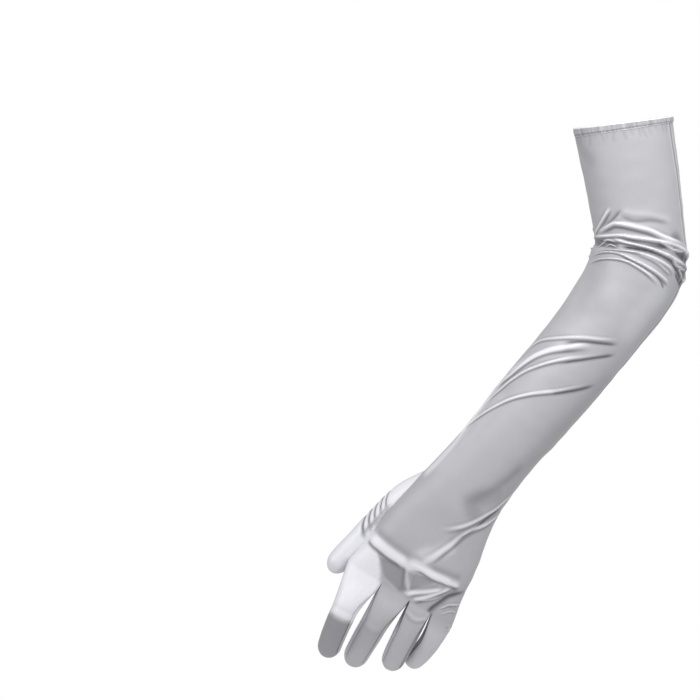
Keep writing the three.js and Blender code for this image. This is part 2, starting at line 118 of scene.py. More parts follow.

# Side seam: its groove, the ridges beside it, its tone (painted shade in the groove and a painted
# highlight on the ridges), and its angles at the mouth, the elbow, the wrist and the crotches
SEAM_DEPTH = 0.0005
SEAM_BREADTH = 0.0011
SEAM_RIDGE = 0.5
SEAM_RIDGE_AWAY = 2.5
SEAM_PAINTED_SHADING = 0.8
SEAM_ANGLES = (30, 20, 6, 0)


def upper(share):
    return UPPER_LENGTH * share


def forearm(share):
    return UPPER_LENGTH + FOREARM_LENGTH * share


def palm(share):
    return WRIST_AT + PALM_LENGTH * share


# How the limb hangs: place, lean to +X and tilt away from the viewer, in degrees
LIMB_TURNS = [
    (0, 7, 4),
    (upper(0.12), 10, 4),
    (upper(0.55), 8.5, 4),
    (upper(0.85), 4, 3),
    (upper(1), -14, 0),
    (forearm(0.12), -33, -4),
    (forearm(0.3), -38, -6),
    (forearm(0.5), -41, -6),
    (forearm(0.8), -40, -5),
    (forearm(0.96), -38, -3),
    (palm(0.15), -34, 0),
    (palm(0.45), -31, 3),
    (CROTCHES_AT, -31, 9),
]

# Sections of the sleeve and the palm: place, size, shares of its width and depth, and fullness
LIMB_SECTIONS = [
    (0, MOUTH, 1, 1, 2.1),
    (upper(0.25), MOUTH, 0.97, 0.98, 2.1),
    (upper(0.6), MOUTH, 0.93, 0.95, 2.1),
    (upper(0.84), ELBOW, 0.95, 0.97, 2.1),
    (upper(1), ELBOW, 1.02, 1, 2.1),
    (forearm(0.1), ELBOW, 0.98, 0.98, 2.1),
    (forearm(0.3), FOREARM, 1, 1, 2.1),
    (forearm(0.6), FOREARM, 0.97, 0.94, 2.1),
    (forearm(0.8), FOREARM, 0.91, 0.85, 2.1),
    (forearm(0.92), WRIST, 1.02, 1.03, 2.15),
    (palm(0.05), WRIST, 1.09, 0.93, 2.2),
    (palm(0.45), KNUCKLES, 0.9, 1.2, 2.4),
    (palm(0.75), KNUCKLES, 0.97, 1.1, 2.5),
    (KNUCKLES_AT, KNUCKLES, 1, 1, 2.5),
    (CROTCHES_AT, CROTCHES, 1, 1, 2.5),
]

# Folds of the sleeve and the hand: height, tone (above 0 a painted highlight on the crest with painted
# shade in the crease beside it, below 0 painted shade along the fold), breadths towards the mouth and
# towards the hand, and a path of places along the limb and angles round it, in degrees from +X through the
# viewer's side
FOLD_HEIGHT = 0.003
FOLD_BREADTH = 0.005
FOLD_SHARPNESS = 1.4
# The painted highlight's breadth along a crest, and where, how broad and how strong the painted shade in
# the crease beside it is, fainter on the mouth's side
CREST_SHARE = 0.75
CREASE_AWAY = 1.5
CREASE_BREADTH = 0.7
CREASE_TONE = 0.8
CREASE_TO_MOUTH = 0.4
FOLD_TAPER = 0.2
LIMB_FOLDS = [
    # slack gathered at the elbow, on the side of the back of the hand
    (0.55, 0.9, 0.30, 0.34,
     [(upper(0.77), 172), (upper(0.73), 160), (upper(0.655), 142), (upper(0.575), 128)]),
    (-0.40, -0.7, 0.34, 0.30,
     [(upper(0.75), 152), (upper(0.71), 140), (upper(0.67), 128), (upper(0.60), 112)]),
    (0.24, 0.1, 0.7, 0.50,
     [(upper(0.61), 116), (upper(0.65), 100), (upper(0.68), 80), (upper(0.75), 46)]),
    (-0.20, -0.45, 0.4, 0.6,
     [(upper(0.64), 118), (upper(0.70), 100), (upper(0.71), 80), (upper(0.76), 52)]),
    (0.75, 1.0, 0.34, 0.46,
     [(upper(0.775), 168), (upper(0.71), 136), (upper(0.70), 120), (upper(0.765), 88),
      (upper(0.845), 60),
      (upper(0.92), 8)]),
    (0.80, 1.0, 0.30, 0.36,
     [(upper(0.79), 200), (upper(0.785), 150), (upper(0.79), 120), (upper(0.815), 104),
      (upper(0.865), 68),
      (upper(0.93), 12), (upper(0.94), -14)]),
    (0.55, 0.9, 0.22, 0.24,
     [(upper(0.96), 160), (upper(0.87), 152), (upper(0.82), 140), (upper(0.85), 122)]),
    (0.40, 0.8, 0.18, 0.22,
     [(upper(0.945), 146), (upper(0.87), 138), (upper(0.88), 130), (upper(0.91), 124)]),
    (0.80, 1.0, 0.28, 0.32,
     [(upper(0.80), 134), (upper(0.84), 118), (upper(0.89), 92), (upper(0.93), 70), (upper(0.96), 46),
      (upper(0.99), 6)]),
    (-0.30, -0.9, 0.26, 0.26,
     [(upper(0.825), 124), (upper(0.85), 104), (upper(0.89), 84), (upper(0.91), 40)]),
    (-0.40, -0.9, 0.24, 0.24,
     [(upper(0.815), 162), (upper(0.835), 150), (upper(0.85), 136), (upper(0.875), 118)]),
    (-0.55, -1.0, 0.34, 0.34,
     [(upper(0.865), 82), (upper(0.90), 62), (upper(0.94), 44), (upper(0.97), 18)]),
    (0.50, 1.0, 0.20, 0.20,
     [(upper(0.86), 74), (upper(0.875), 68), (upper(0.91), 52), (upper(0.92), 28)]),
    (0.50, 1.0, 0.20, 0.20,
     [(upper(0.93), 66), (upper(0.95), 56), (upper(0.985), 42), (forearm(0.00), 16)]),
    (0.40, 0.5, 0.22, 0.24,
     [(upper(0.89), 62), (upper(0.93), 50), (upper(0.975), 28), (forearm(0.00), 2)]),
    (-0.60, -1.0, 0.22, 0.30,
     [(upper(0.90), 122), (upper(0.91), 108), (upper(0.93), 84), (upper(0.96), 60), (upper(0.995), 36),
      (forearm(0.015), 8)]),
    (0.55, 0.8, 0.24, 0.30,
     [(forearm(0.03), 164), (upper(0.97), 136), (upper(0.945), 108), (upper(0.96), 86),
      (forearm(0.00), 58),
      (forearm(0.015), 44)]),
    (0.34, 0.6, 0.20, 0.22,
     [(upper(0.965), 100), (upper(0.985), 80), (forearm(0.01), 62), (forearm(0.02), 50)]),
    (0.55, 0.9, 0.22, 0.26,
     [(forearm(0.06), 170), (forearm(0.01), 140), (upper(0.995), 120), (forearm(0.01), 100),
      (forearm(0.035), 60), (forearm(0.045), 46)]),
    (-0.34, -0.6, 0.20, 0.22, [(forearm(0.01), 118), (forearm(0.02), 98), (forearm(0.04), 72)]),
    (0.50, 0.9, 0.22, 0.26,
     [(forearm(0.11), 172), (forearm(0.05), 138), (forearm(0.025), 112), (forearm(0.035), 88),
      (forearm(0.06), 58)]),
    (-0.40, -0.8, 0.20, 0.20, [(forearm(0.03), 78), (forearm(0.045), 62), (forearm(0.065), 50)]),
    (0.60, 0.9, 0.24, 0.24,
     [(upper(0.97), 44), (forearm(0.005), 32), (forearm(0.02), 12), (forearm(0.005), -8),
      (upper(0.97), -16)]),
    (-0.60, -1.0, 0.42, 0.42,
     [(upper(0.965), 58), (forearm(0.005), 38), (forearm(0.015), 22), (upper(0.995), 2)]),
    (-0.50, -1.0, 0.32, 0.32, [(forearm(0.01), 46), (forearm(0.03), 22), (forearm(0.035), -4)]),
    (-0.45, -1.0, 0.34, 0.34,
     [(upper(0.93), 42), (upper(0.95), 24), (upper(0.96), 6), (upper(0.955), -14)]),
    # the same slack on the side of the palm
    (0.75, 0.8, 0.34, 0.40,
     [(upper(0.76), 178), (upper(0.72), 214), (upper(0.77), 262), (upper(0.87), 310),
      (upper(0.92), 348)]),
    (0.85, 0.9, 0.30, 0.36,
     [(upper(0.80), 176), (upper(0.81), 220), (upper(0.86), 268), (upper(0.92), 312),
      (upper(0.94), 344)]),
    (-0.50, -0.8, 0.22, 0.30,
     [(upper(0.845), 190), (upper(0.87), 230), (upper(0.90), 256), (upper(0.94), 300)]),
    (0.75, 0.9, 0.28, 0.32,
     [(upper(0.88), 172), (upper(0.90), 226), (upper(0.94), 272), (upper(0.985), 326)]),
    (-0.45, -0.7, 0.22, 0.24, [(upper(0.95), 196), (upper(0.965), 244), (forearm(0.00), 290)]),
    (0.65, 0.8, 0.26, 0.32,
     [(upper(0.96), 168), (upper(0.99), 216), (forearm(0.01), 262), (forearm(0.02), 306)]),
    (0.50, 0.7, 0.24, 0.28, [(forearm(0.06), 166), (forearm(0.04), 212), (forearm(0.05), 254)]),
    (0.40, 0.6, 0.30, 0.30, [(upper(0.62), 226), (upper(0.68), 240), (upper(0.76), 250)]),
    # drag folds of the forearm
    (0.26, 0.8, 0.28, 0.28,
     [(forearm(0.50), 172), (forearm(0.445), 160), (forearm(0.40), 132), (forearm(0.34), 98),
      (forearm(0.27), 60)]),
    (-0.16, -1.0, 0.34, 0.36, [(forearm(0.405), 120), (forearm(0.345), 92), (forearm(0.285), 56)]),
    (0.40, 1.0, 0.46, 0.46,
     [(forearm(0.66), 178), (forearm(0.60), 160), (forearm(0.52), 148), (forearm(0.46), 132),
      (forearm(0.405), 110), (forearm(0.34), 84)]),
    (0.40, 1.0, 0.26, 0.26,
     [(forearm(0.74), 174), (forearm(0.66), 156), (forearm(0.60), 146), (forearm(0.55), 136),
      (forearm(0.495), 120), (forearm(0.44), 102), (forearm(0.33), 64)]),
    (-0.18, -1.0, 0.34, 0.40, [(forearm(0.475), 108), (forearm(0.385), 78), (forearm(0.315), 50)]),
    (0.34, 1.0, 0.26, 0.26,
     [(forearm(0.85), 172), (forearm(0.78), 160), (forearm(0.665), 128), (forearm(0.605), 108),
      (forearm(0.555), 90), (forearm(0.44), 54)]),
    (-0.18, -1.0, 0.36, 0.42, [(forearm(0.565), 90), (forearm(0.515), 72), (forearm(0.43), 42)]),
    (0.26, 0.8, 0.6, 0.6, [(forearm(0.62), 178), (forearm(0.74), 170), (forearm(0.88), 166)]),
    (0.34, 0.5, 0.4, 0.5, [(forearm(0.46), 184), (forearm(0.38), 232), (forearm(0.30), 282)]),
    (0.36, 0.5, 0.4, 0.4, [(forearm(0.62), 190), (forearm(0.50), 240), (forearm(0.42), 300)]),
    (0.30, 0.4, 0.4, 0.5, [(forearm(0.80), 200), (forearm(0.68), 246), (forearm(0.58), 290)]),
    # the wrist, drawn towards its outer side
    (0.36, 0.8, 0.28, 0.34,
     [(forearm(0.86), 12), (forearm(0.945), 32), (palm(0.15), 60), (palm(0.46), 92)]),
    (-0.34, -1.0, 0.34, 0.36,
     [(forearm(0.92), 14), (palm(0.06), 42), (palm(0.26), 56), (palm(0.54), 78)]),
    (0.34, 0.8, 0.28, 0.34,
     [(forearm(0.93), 0), (palm(0.05), 32), (palm(0.30), 62), (palm(0.60), 78), (palm(1.00), 92)]),
    (-0.24, -0.3, 1.2, 1.0, [(forearm(0.78), 40), (forearm(0.895), 56), (palm(0.10), 84)]),
    (0.34, 0.5, 0.34, 0.4,
     [(forearm(0.90), 200), (palm(0.00), 240), (palm(0.06), 290), (palm(-0.02), 330)]),
    (0.30, 0.4, 0.34, 0.4, [(forearm(0.84), 214), (forearm(0.93), 262), (forearm(0.95), 318)]),
    # the knuckles, the fold between their hollows, and the folds at the ring finger's root
    (0.30, 1.0, 1.10, 0.50,
     [(palm(0.95), 166), (palm(0.98), 156), (palm(1.00), 140), (palm(1.01), 126), (palm(1.02), 116),
      (palm(1.02), 106), (palm(1.03), 100), (palm(1.07), 90)]),
    (0.36, 1.0, 0.90, 0.36,
     [(palm(1.06), 98), (palm(0.98), 90), (palm(0.97), 84), (palm(0.98), 76), (palm(0.96), 64),
      (palm(0.94), 44), (palm(0.92), 34)]),
    (0.16, 0.5, 0.22, 0.22, [(palm(1.02), 96), (palm(1.14), 92), (palm(1.34), 86)]),
    (0.30, 1.0, 0.34, 0.30, [(palm(1.36), 88), (palm(1.28), 84), (palm(1.16), 72), (palm(1.02), 56)]),
    (0.36, 1.0, 0.36, 0.32, [(palm(1.38), 84), (palm(1.26), 74), (palm(1.12), 62), (palm(0.96), 46)]),
    (0.26, 0.6, 0.20, 0.18, [(palm(1.34), 80), (palm(1.25), 68), (palm(1.13), 56), (palm(0.99), 42)]),
    (-0.55, -1.0, 0.46, 0.46,
     [(palm(0.95), 2), (palm(1.00), 24), (palm(1.06), 38), (palm(1.12), 46), (palm(1.20), 52),
      (palm(1.27), 56), (palm(1.37), 60), (palm(1.46), 60)]),
    (0.24, 0.8, 0.18, 0.16, [(palm(1.30), 52), (palm(1.19), 40), (palm(1.15), 24), (palm(1.13), 8)]),
    (-0.16, -0.6, 0.14, 0.14, [(palm(1.30), 50), (palm(1.21), 38), (palm(1.19), 20)]),
    (0.20, 0.5, 0.16, 0.16, [(palm(1.34), 48), (palm(1.25), 32), (palm(1.24), 14)]),
    # the ball of the thumb and the lines of the palm
    (1.2, 0.1, 2.6, 2.6, [(palm(-0.15), 216), (palm(0.40), 218), (palm(0.95), 222)]),
    (-0.9, -0.1, 2.6, 2.6, [(palm(0.30), 276), (palm(0.75), 268), (palm(1.20), 262)]),
    (-0.4, -0.7, 0.36, 0.36,
     [(palm(0.10), 236), (palm(0.45), 242), (palm(0.85), 232), (palm(1.05), 212)]),
    (-0.36, -0.7, 0.36, 0.36,
     [(palm(0.95), 206), (palm(0.92), 246), (palm(0.72), 300), (palm(0.66), 330)]),
    (-0.34, -0.6, 0.3, 0.3, [(palm(1.15), 236), (palm(1.12), 280), (palm(1.00), 330)]),
]

# Small puckers that the hem's stitching draws into the sleeve, with painted shade along them
PUCKER_COUNT = 44
PUCKER_SEED = 5
PUCKER_LENGTH = 0.011
PUCKER_HEIGHT = -0.06
PUCKER_PAINTED_SHADE = -0.24
PUCKER_BREADTH = 0.3
PUCKER_START = HEM_HEIGHT - 0.002
PUCKER_LEAN = 5

# Rings of the sleeve: where each stretch ends, and how far apart its rings are
LIMB_RINGS = [
    (HEM_HEIGHT + PUCKER_LENGTH, 0.0012),
    (upper(0.55), 0.003),
    (forearm(0.12), 0.0009),
    (forearm(0.24), 0.003),
    (forearm(0.86), 0.0014),
    (palm(0.8), 0.0015),
    (CROTCHES_AT, 0.0012),
]

# Broad patches of painted highlight and painted shade on the cloth: tone, breadth and path
PATCH_SHARPNESS = 3
LIMB_PAINTED_PATCHES = [
    (1.0, 0.0048, [(palm(0.95), 166), (palm(0.99), 126), (palm(1.01), 104)]),
    (0.9, 0.0036, [(palm(1.02), 94), (palm(0.97), 82), (palm(0.95), 60)]),
    (0.45, 0.0044, [(palm(1.00), 92), (palm(0.90), 90), (palm(0.77), 86), (palm(0.58), 74)]),
    (0.10, 0.0060, [(upper(0.625), 106), (upper(0.665), 84), (upper(0.715), 60)]),
    (-0.35, 0.0040, [(palm(1.12), 58), (palm(1.02), 40)]),
    (0.70, 0.0045, [(forearm(0.57), 166), (forearm(0.48), 138), (forearm(0.42), 118)]),
    (0.70, 0.0055,
     [(forearm(0.60), 172), (forearm(0.84), 162), (forearm(0.95), 160), (forearm(0.99), 162)]),
    (-0.30, 0.0075, [(forearm(0.92), 48), (forearm(0.98), 74), (palm(0.05), 68)]),
    (-0.16, 0.0120,
     [(forearm(0.42), 28), (forearm(0.62), 34), (forearm(0.78), 36), (forearm(0.92), 44)]),
    (-0.70, 0.0070, [(upper(0.87), 46), (upper(0.95), 36), (forearm(0.01), 22)]),
    (-0.30, 0.0060, [(upper(0.90), 104), (upper(0.93), 80), (upper(0.97), 60)]),
    (-0.70, 0.0045, [(upper(0.83), 172), (upper(0.87), 150), (upper(0.895), 128)]),
    (0.22, 0.0110, [(forearm(0.08), 54), (forearm(0.155), 58), (forearm(0.23), 54)]),
    (-0.17, 0.0130, [(forearm(0.09), 142), (forearm(0.17), 132), (forearm(0.25), 120)]),
    (0.16, 0.0080, [(forearm(0.68), 146), (forearm(0.82), 146), (forearm(0.95), 150)]),
    (-0.16, 0.0070, [(upper(0.09), 168), (upper(0.16), 156), (upper(0.22), 146)]),
]

# Facets of the back of the hand: height, tone (a painted highlight above 0, painted shade below), breadth
# of the edge, and outline
LIMB_FACETS = [
    (0.0, 0.95, 0.0014,
     [(palm(0.86), 190), (palm(0.90), 168), (palm(0.95), 152), (palm(1.03), 138), (palm(1.11), 128),
      (palm(1.19), 120), (palm(1.29), 112), (palm(1.44), 110), (palm(1.50), 150), (palm(1.46), 186),
      (palm(1.10), 194)]),
    (-0.0012, -0.38, 0.0010,
     [(palm(1.13), 128), (palm(1.10), 116), (palm(1.08), 106), (palm(1.07), 100), (palm(1.09), 92),
      (palm(1.28), 88), (palm(1.36), 90), (palm(1.33), 96), (palm(1.29), 108), (palm(1.19), 118)]),
    (-0.0012, -0.28, 0.0010,
     [(palm(1.08), 90), (palm(1.04), 88), (palm(1.04), 80), (palm(1.06), 72), (palm(1.16), 80),
      (palm(1.28), 86)]),
]

# Soft waves all over the cloth
WAVE_HEIGHT = 0.00010
WAVE_COUNT = 18
WAVE_SEED = 11
WAVE_LENGTHS = (0.014, 0.05)
WAVE_TURNS = 7
FINGER_WAVES = 0.5

# Fingers, from the outer edge of the hand: length and width as shares of the middle finger's, the
# share of the palm's half width where the finger meets the next one, and leans and curls at the
# places of its joints
FINGER_JOINTS = (0, 0.32, 0.56, 1)
FINGERS = [
    ("little", 0.805, 0.8, 0.61, (-24, -30, -35, -43), (20, 30, 42, 50)),
    ("ring", 0.865, 0.935, 0.19, (-28, -27, -25, -23), (12, 18, 30, 35)),
    ("middle", 1, 1, -0.35, (-31, -31, -29, -27), (6, 9, 24, 28)),
    ("index", 1.06, 0.955, -1, (-24, -27, -23, -17), (-8, -10, 24, 30)),
]
FINGER_TAPER = [(0, 1.08), (0.35, 1.03), (0.7, 0.98), (1, 0.88)]
FINGER_BLEND = 0.45
TIP_SHARE = 0.55
CROTCH_DIP = 0.002
FOLDS_FROM = 0.004
WAVES_FROM = 0.01
SEAMS_FROM = 0.003

# Fourchettes: how far each one goes round a finger, and its painted shading at the crotch and at the tip:
# a painted highlight above 0, painted shade below
FOURCHETTE_ANGLE = 84
FOURCHETTE_SHADED = (0.15, 0.45)
FOURCHETTE_PAINTED_SHADING = {
    "fourchette_index_middle": (0.3, 0.5),
    "fourchette_middle_ring": (-0.7, 0.3),
    "fourchette_ring_little": (-0.9, -0.4),
}

# Painted highlights and painted shade along the backs of the fingers: shares of the length and tones
FINGER_PAINTED_SHADING = {
    "little": [(0, 0.0), (0.22, 0.34), (0.5, 0.28), (1, 0.45)],
    "ring": [(0, 0.15), (0.4, 0.1), (1, 0.15)],
    "middle": [(0, 0.0), (0.14, 0.2), (0.5, -0.1), (1, 0.15)],
    "index": [(0, 0.95), (0.48, 0.95), (0.52, -0.4), (1, -0.28)],
    "thumb": [(0, 0.75), (0.35, 1.0), (1, 0.9)],
}

# Folds of the fingers: height, tone of their painted highlight and shade, two breadths, and a path of
# shares along the finger and angles
FINGER_FOLDS = {
    "little": [
        (-0.20, -1.0, 0.5, 0.5, [(-0.02, 150), (0.12, 168), (0.4, 178), (0.8, 182)]),
        (0.20, 0.5, 0.18, 0.18, [(0.05, 64), (0.07, 30), (0.05, -16)]),
        (0.16, 0.4, 0.18, 0.18, [(0.10, 50), (0.13, 20), (0.12, -10)]),
        (-0.2, -0.4, 0.3, 0.3, [(0.36, 200), (0.38, 270), (0.36, 340)]),
        (-0.18, -0.4, 0.3, 0.3, [(0.66, 200), (0.68, 270), (0.66, 340)]),
    ],
    "ring": [
        (0.16, 0.3, 0.4, 0.4, [(0.08, 40), (0.16, 90), (0.12, 140)]),
        (-0.2, -0.4, 0.3, 0.3, [(0.38, 200), (0.4, 270), (0.38, 340)]),
        (-0.18, -0.4, 0.3, 0.3, [(0.68, 200), (0.7, 270), (0.68, 340)]),
    ],
    "middle": [
        (0.14, 0.1, 0.5, 0.5, [(0.40, 50), (0.44, 90), (0.42, 130)]),
        (-0.22, -0.4, 0.3, 0.3, [(0.38, 200), (0.4, 270), (0.38, 340)]),
        (-0.18, -0.4, 0.3, 0.3, [(0.68, 200), (0.7, 270), (0.68, 340)]),
    ],
    "index": [
        (0.22, 0.4, 0.5, 0.3, [(0.47, 160), (0.46, 90), (0.47, 30)]),
        (-0.22, -0.4, 0.3, 0.3, [(0.4, 200), (0.42, 270), (0.4, 340)]),
        (-0.18, -0.4, 0.3, 0.3, [(0.68, 200), (0.7, 270), (0.68, 340)]),
    ],
}

# Thumb: its root inside the palm, its turns and its taper, how its meeting with the palm is looked for,
# the share of it that the palm's cloth is cut out of, and its folds
THUMB_ROOT_AT = palm(-0.07)
THUMB_ROOT_ACROSS = -0.59
THUMB_ROOT_DEEP = 0.15
THUMB_LEAN = (-60, -54, -47, -41)
THUMB_CURL = (10, 9, 8, 6)
THUMB_TAPER = [(0, 1.1), (0.28, 1.45), (0.5, 1.22), (0.7, 1.03), (0.88, 1), (1, 0.88)]
THUMB_TRIED = 0.92
THUMB_TRIES = 240
THUMB_SUNK = 0.0004
THUMB_CORE = 0.8
THUMB_FOLDS = [
    (-0.34, -0.9, 0.22, 0.22, [(0.29, 210), (0.34, 178), (0.40, 130), (0.45, 70)]),
    (-0.40, -0.9, 0.24, 0.24, [(0.35, 210), (0.39, 178), (0.45, 130), (0.50, 70)]),
    (-0.42, -0.9, 0.26, 0.26, [(0.41, 210), (0.445, 178), (0.505, 130), (0.555, 70)]),
    (-0.46, -0.9, 0.30, 0.30, [(0.47, 210), (0.50, 178), (0.56, 130), (0.61, 70)]),
    (-0.50, -0.9, 0.36, 0.36, [(0.53, 210), (0.56, 178), (0.62, 130), (0.67, 70)]),
    (0.3, 0.4, 0.25, 0.25, [(0.34, 330), (0.38, 280), (0.37, 225)]),
    (0.28, 0.4, 0.25, 0.25, [(0.41, 335), (0.45, 284), (0.44, 230)]),
    (-0.2, -0.4, 0.3, 0.3, [(0.78, 200), (0.80, 270), (0.78, 340)]),
]

# Facets round a finger's back, a crotch and the thumb, and rings along each of them
BACK_FACETS = 24
CROTCH_FACETS = 10
THUMB_FACETS = 72
FINGER_RINGS = 34
THUMB_RINGS = 84
TIP_RINGS = 7
AXIS_STEP = 0.002
FOLD_STEPS = 41

BODY = "glove_body"

# Satin: sheen, threads, clouds and gloss, and how light the painted highlight on a crest and how dark the
# painted shade in a crease is
SHEEN = 0.15
SHEEN_ROUGHNESS = 0.4
THREADS = (1600, 110, 1)
THREAD_DETAIL = 3
THREAD_TONES = (0.94, 1.06)
THREAD_GLOSS = 0.04
THREAD_RELIEF = 0.25
THREAD_HEIGHT = 0.00005
CLOUD_SCALE = 28
CLOUD_DETAIL = 2
CLOUD_TONES = (0.97, 1.03)
PAINTED_CREST_HIGHLIGHT = 1.82
PAINTED_CREASE_SHADE = 0.22

# Studio: the light of the room, the floor, the lamps with place, target, size and power, and the camera
ROOM_LIGHT = 0.48
FLOOR_SIZE = 3
FLOOR_PLACE = (-0.1, 0, -0.72)
LAMPS = [
    ("over_front", (-0.15, -0.6, 0.6), (-0.1, 0, -0.2), (0.6, 0.6), 2.4),
    ("upper_right", (0.9, -0.6, 0.8), (-0.05, 0, -0.1), (0.9, 0.9), 5.5),
    ("left", (-1.8, -1.2, 0.3), (-0.1, 0, -0.2), (1.5, 1.5), 7.5),
    ("low_front", (-0.35, -1.2, -0.58), (-0.18, 0, -0.42), (0.8, 0.2), 0.6),
    ("sleeve_front", (0.04, -0.4, 0.3), (0.0, 0, -0.03), (0.3, 0.3), 1.4),
]
CAMERA_PLACE = (-0.2293, -2.5, -0.1915)
CAMERA_SENSOR = 36
CAMERA_LENS = 153.06


def read(places, values, at):
    """Smooth reading of a table at places between its rows."""
    places = np.asarray(places, float)
    values = np.asarray(values, float)
    at = np.clip(at, places[0], places[-1])
    last = len(places) - 1
    row = np.clip(np.searchsorted(places, at, side="right") - 1, 0, last - 1)
    before = np.maximum(np.arange(last + 1) - 1, 0)
    after = np.minimum(np.arange(last + 1) + 1, last)
    slopes = (values[after] - values[before]) / (places[after] - places[before])
    gap = places[row + 1] - places[row]
    u = (at - places[row]) / gap
    eased = u * u * (3 - 2 * u)
    leaving = slopes[row] * gap * u * (1 - u) ** 2
    arriving = slopes[row + 1] * gap * u * u * (1 - u)
    return values[row] + (values[row + 1] - values[row]) * eased + leaving - arriving


def smoothstep(value, low, high):
    share = np.clip((value - low) / (high - low), 0, 1)
    return share * share * (3 - 2 * share)


def directions(lean, away):
    """Along an axis, across it to +X, and deep, away from the viewer."""
    along = np.stack([np.sin(lean) * np.cos(away), np.sin(away), -np.cos(lean) * np.cos(away)], -1)
    across = np.stack([np.cos(lean), np.zeros_like(lean), np.sin(lean)], -1)
    return along, across, np.cross(across, along)


class Axis:
    """A line through the middle of a limb or a finger that follows a table of turns."""

    def __init__(self, start, length, turns):
        self.places, self.leans, self.aways = (np.array(column, float) for column in zip(*turns))
        steps = math.ceil(length / AXIS_STEP)
        self.step = length / steps
        along = self.turned((np.arange(steps) + 0.5) * self.step)[0]
        self.points = np.vstack([start, start + np.cumsum(along * self.step, axis=0)])

    def turned(self, at):
        lean = np.radians(read(self.places, self.leans, at))
        away = np.radians(read(self.places, self.aways, at))
        return directions(lean, away)

    def at(self, at):
        at = np.asarray(at, float)
        row = np.clip((at / self.step).astype(int), 0, len(self.points) - 2)
        share = (at / self.step - row)[..., None]
        centre = self.points[row] + (self.points[row + 1] - self.points[row]) * share
        return (centre, *self.turned(at))


def on_section(axis, at, width, depth, full, angle):
    """Points of oval sections; a fullness of 2 is an ellipse and more is squarer."""
    centre, _, across, deep = axis.at(at)
    cosine, sine = np.cos(np.radians(angle)), np.sin(np.radians(angle))
    right = np.sign(cosine) * np.abs(cosine) ** (2 / full) * width / 2
    back = np.sign(sine) * np.abs(sine) ** (2 / full) * depth / 2
    return centre + across * right[..., None] - deep * back[..., None]


def outwards(points, middles):
    """Directions from the middle of a limb or a finger to points of its surface."""
    away = points - middles
    return away / (np.linalg.norm(away, axis=-1, keepdims=True) + TINY)


def picked(values, columns):
    """The value in the chosen column of each row."""
    return np.take_along_axis(values, columns[:, None], 1)[:, 0]


def smooth_line(rows):
    """Places and angles of even steps along a smooth path through a table's rows."""
    rows = np.array(rows, float)
    shares = np.linspace(0, 1, len(rows))
    knots = np.linspace(0, 1, FOLD_STEPS)
    return read(shares, rows[:, 0], knots), read(shares, rows[:, 1], knots)


def beside_path(rows, at, angle, radius, reach):
    """A mask of what is near a path, and there the distance, the path's share and the mouth's side."""
    line_at, line_angle = smooth_line(rows)
    near = (at > line_at.min() - reach) & (at < line_at.max() + reach)
    turned = (angle[near][:, None] - line_angle + 180) % 360 - 180
    x = (at[near][:, None] - line_at)[:, :-1]
    y = (np.radians(turned) * radius[near][:, None])[:, :-1]
    run_x = np.broadcast_to(np.diff(line_at), x.shape)
    run_y = np.radians(np.diff(line_angle)) * radius[near][:, None]
    share = np.clip((x * run_x + y * run_y) / (run_x**2 + run_y**2 + TINY**2), 0, 1)
    away = np.hypot(x - share * run_x, y - share * run_y)
    best = np.argmin(away, axis=1)
    along = (best + picked(share, best)) / (FOLD_STEPS - 1)
    return near, picked(away, best), along, picked(x - share * run_x, best) < 0


def fold_relief(folds, at, angle, radius):
    """Height of a table of folds over the cloth, and its painted shading: 1 for a painted highlight on a
    crest, -1 for painted shade in a crease.
    """
    height, crest, crease = np.zeros(at.shape), np.zeros(at.shape), np.zeros(at.shape)
    for ridge, shine, above, below, rows in folds:
        reach = 3 * FOLD_BREADTH * max(above, below)
        near, away, along, to_mouth = beside_path(rows, at, angle, radius, reach)
        away = away / FOLD_BREADTH / np.where(to_mouth, above, below)
        taper = smoothstep(along, 0, FOLD_TAPER) * smoothstep(1 - along, 0, FOLD_TAPER)
        height[near] += FOLD_HEIGHT * ridge * taper * np.exp(-(away**FOLD_SHARPNESS))
        line = abs(shine) * taper * np.exp(-((away / CREST_SHARE) ** 2))
        beside = abs(shine) * taper * np.exp(-(((away - CREASE_AWAY) / CREASE_BREADTH) ** 2))
        if shine > 0:
            crest[near] = np.maximum(crest[near], line)
            beside *= CREASE_TONE * np.where(to_mouth, CREASE_TO_MOUTH, 1)
            crease[near] = np.maximum(crease[near], beside)
        else:
            crease[near] = np.maximum(crease[near], line)
    return height, crest - crease * (1 - crest)


def hem_puckers():
    """Short folds of uneven length that run down from the hem, with painted shade along them."""
    chance = np.random.default_rng(PUCKER_SEED)
    folds = []
    for k in range(PUCKER_COUNT):
        share = chance.uniform(0.3, 1)
        angle = 360 * (k + chance.uniform(-0.4, 0.4)) / PUCKER_COUNT
        end = HEM_HEIGHT + PUCKER_LENGTH * share
        path = [(PUCKER_START, angle), (end, angle + chance.uniform(-PUCKER_LEAN, PUCKER_LEAN))]
        folds.append((PUCKER_HEIGHT * share, PUCKER_PAINTED_SHADE * share, PUCKER_BREADTH, PUCKER_BREADTH, path))
    return folds


def is_inside(outline, at, angle):
    """Whether places lie inside a smooth closed outline on the cloth."""
    line_at, line_angle = smooth_line(outline)
    inside = np.zeros(at.shape, bool)
    for k in range(FOLD_STEPS - 1):
        from_at, to_at = line_at[k:k + 2]
        from_angle, to_angle = line_angle[k:k + 2]
        if from_angle == to_angle:
            continue
        crosses = (from_angle > angle) != (to_angle > angle)
        crossed_at = from_at + (angle - from_angle) / (to_angle - from_angle) * (to_at - from_at)
        inside ^= crosses & (at < crossed_at)
    return inside


def patch_share(rows, breadth, at, angle, radius):
    """How much of a patch is at each place: 1 along its path, less away from it."""
    near, away, _, _ = beside_path(rows, at, angle, radius, 2 * breadth)
    share = np.zeros(at.shape)
    share[near] = np.exp(-((away / breadth) ** PATCH_SHARPNESS))
    return share


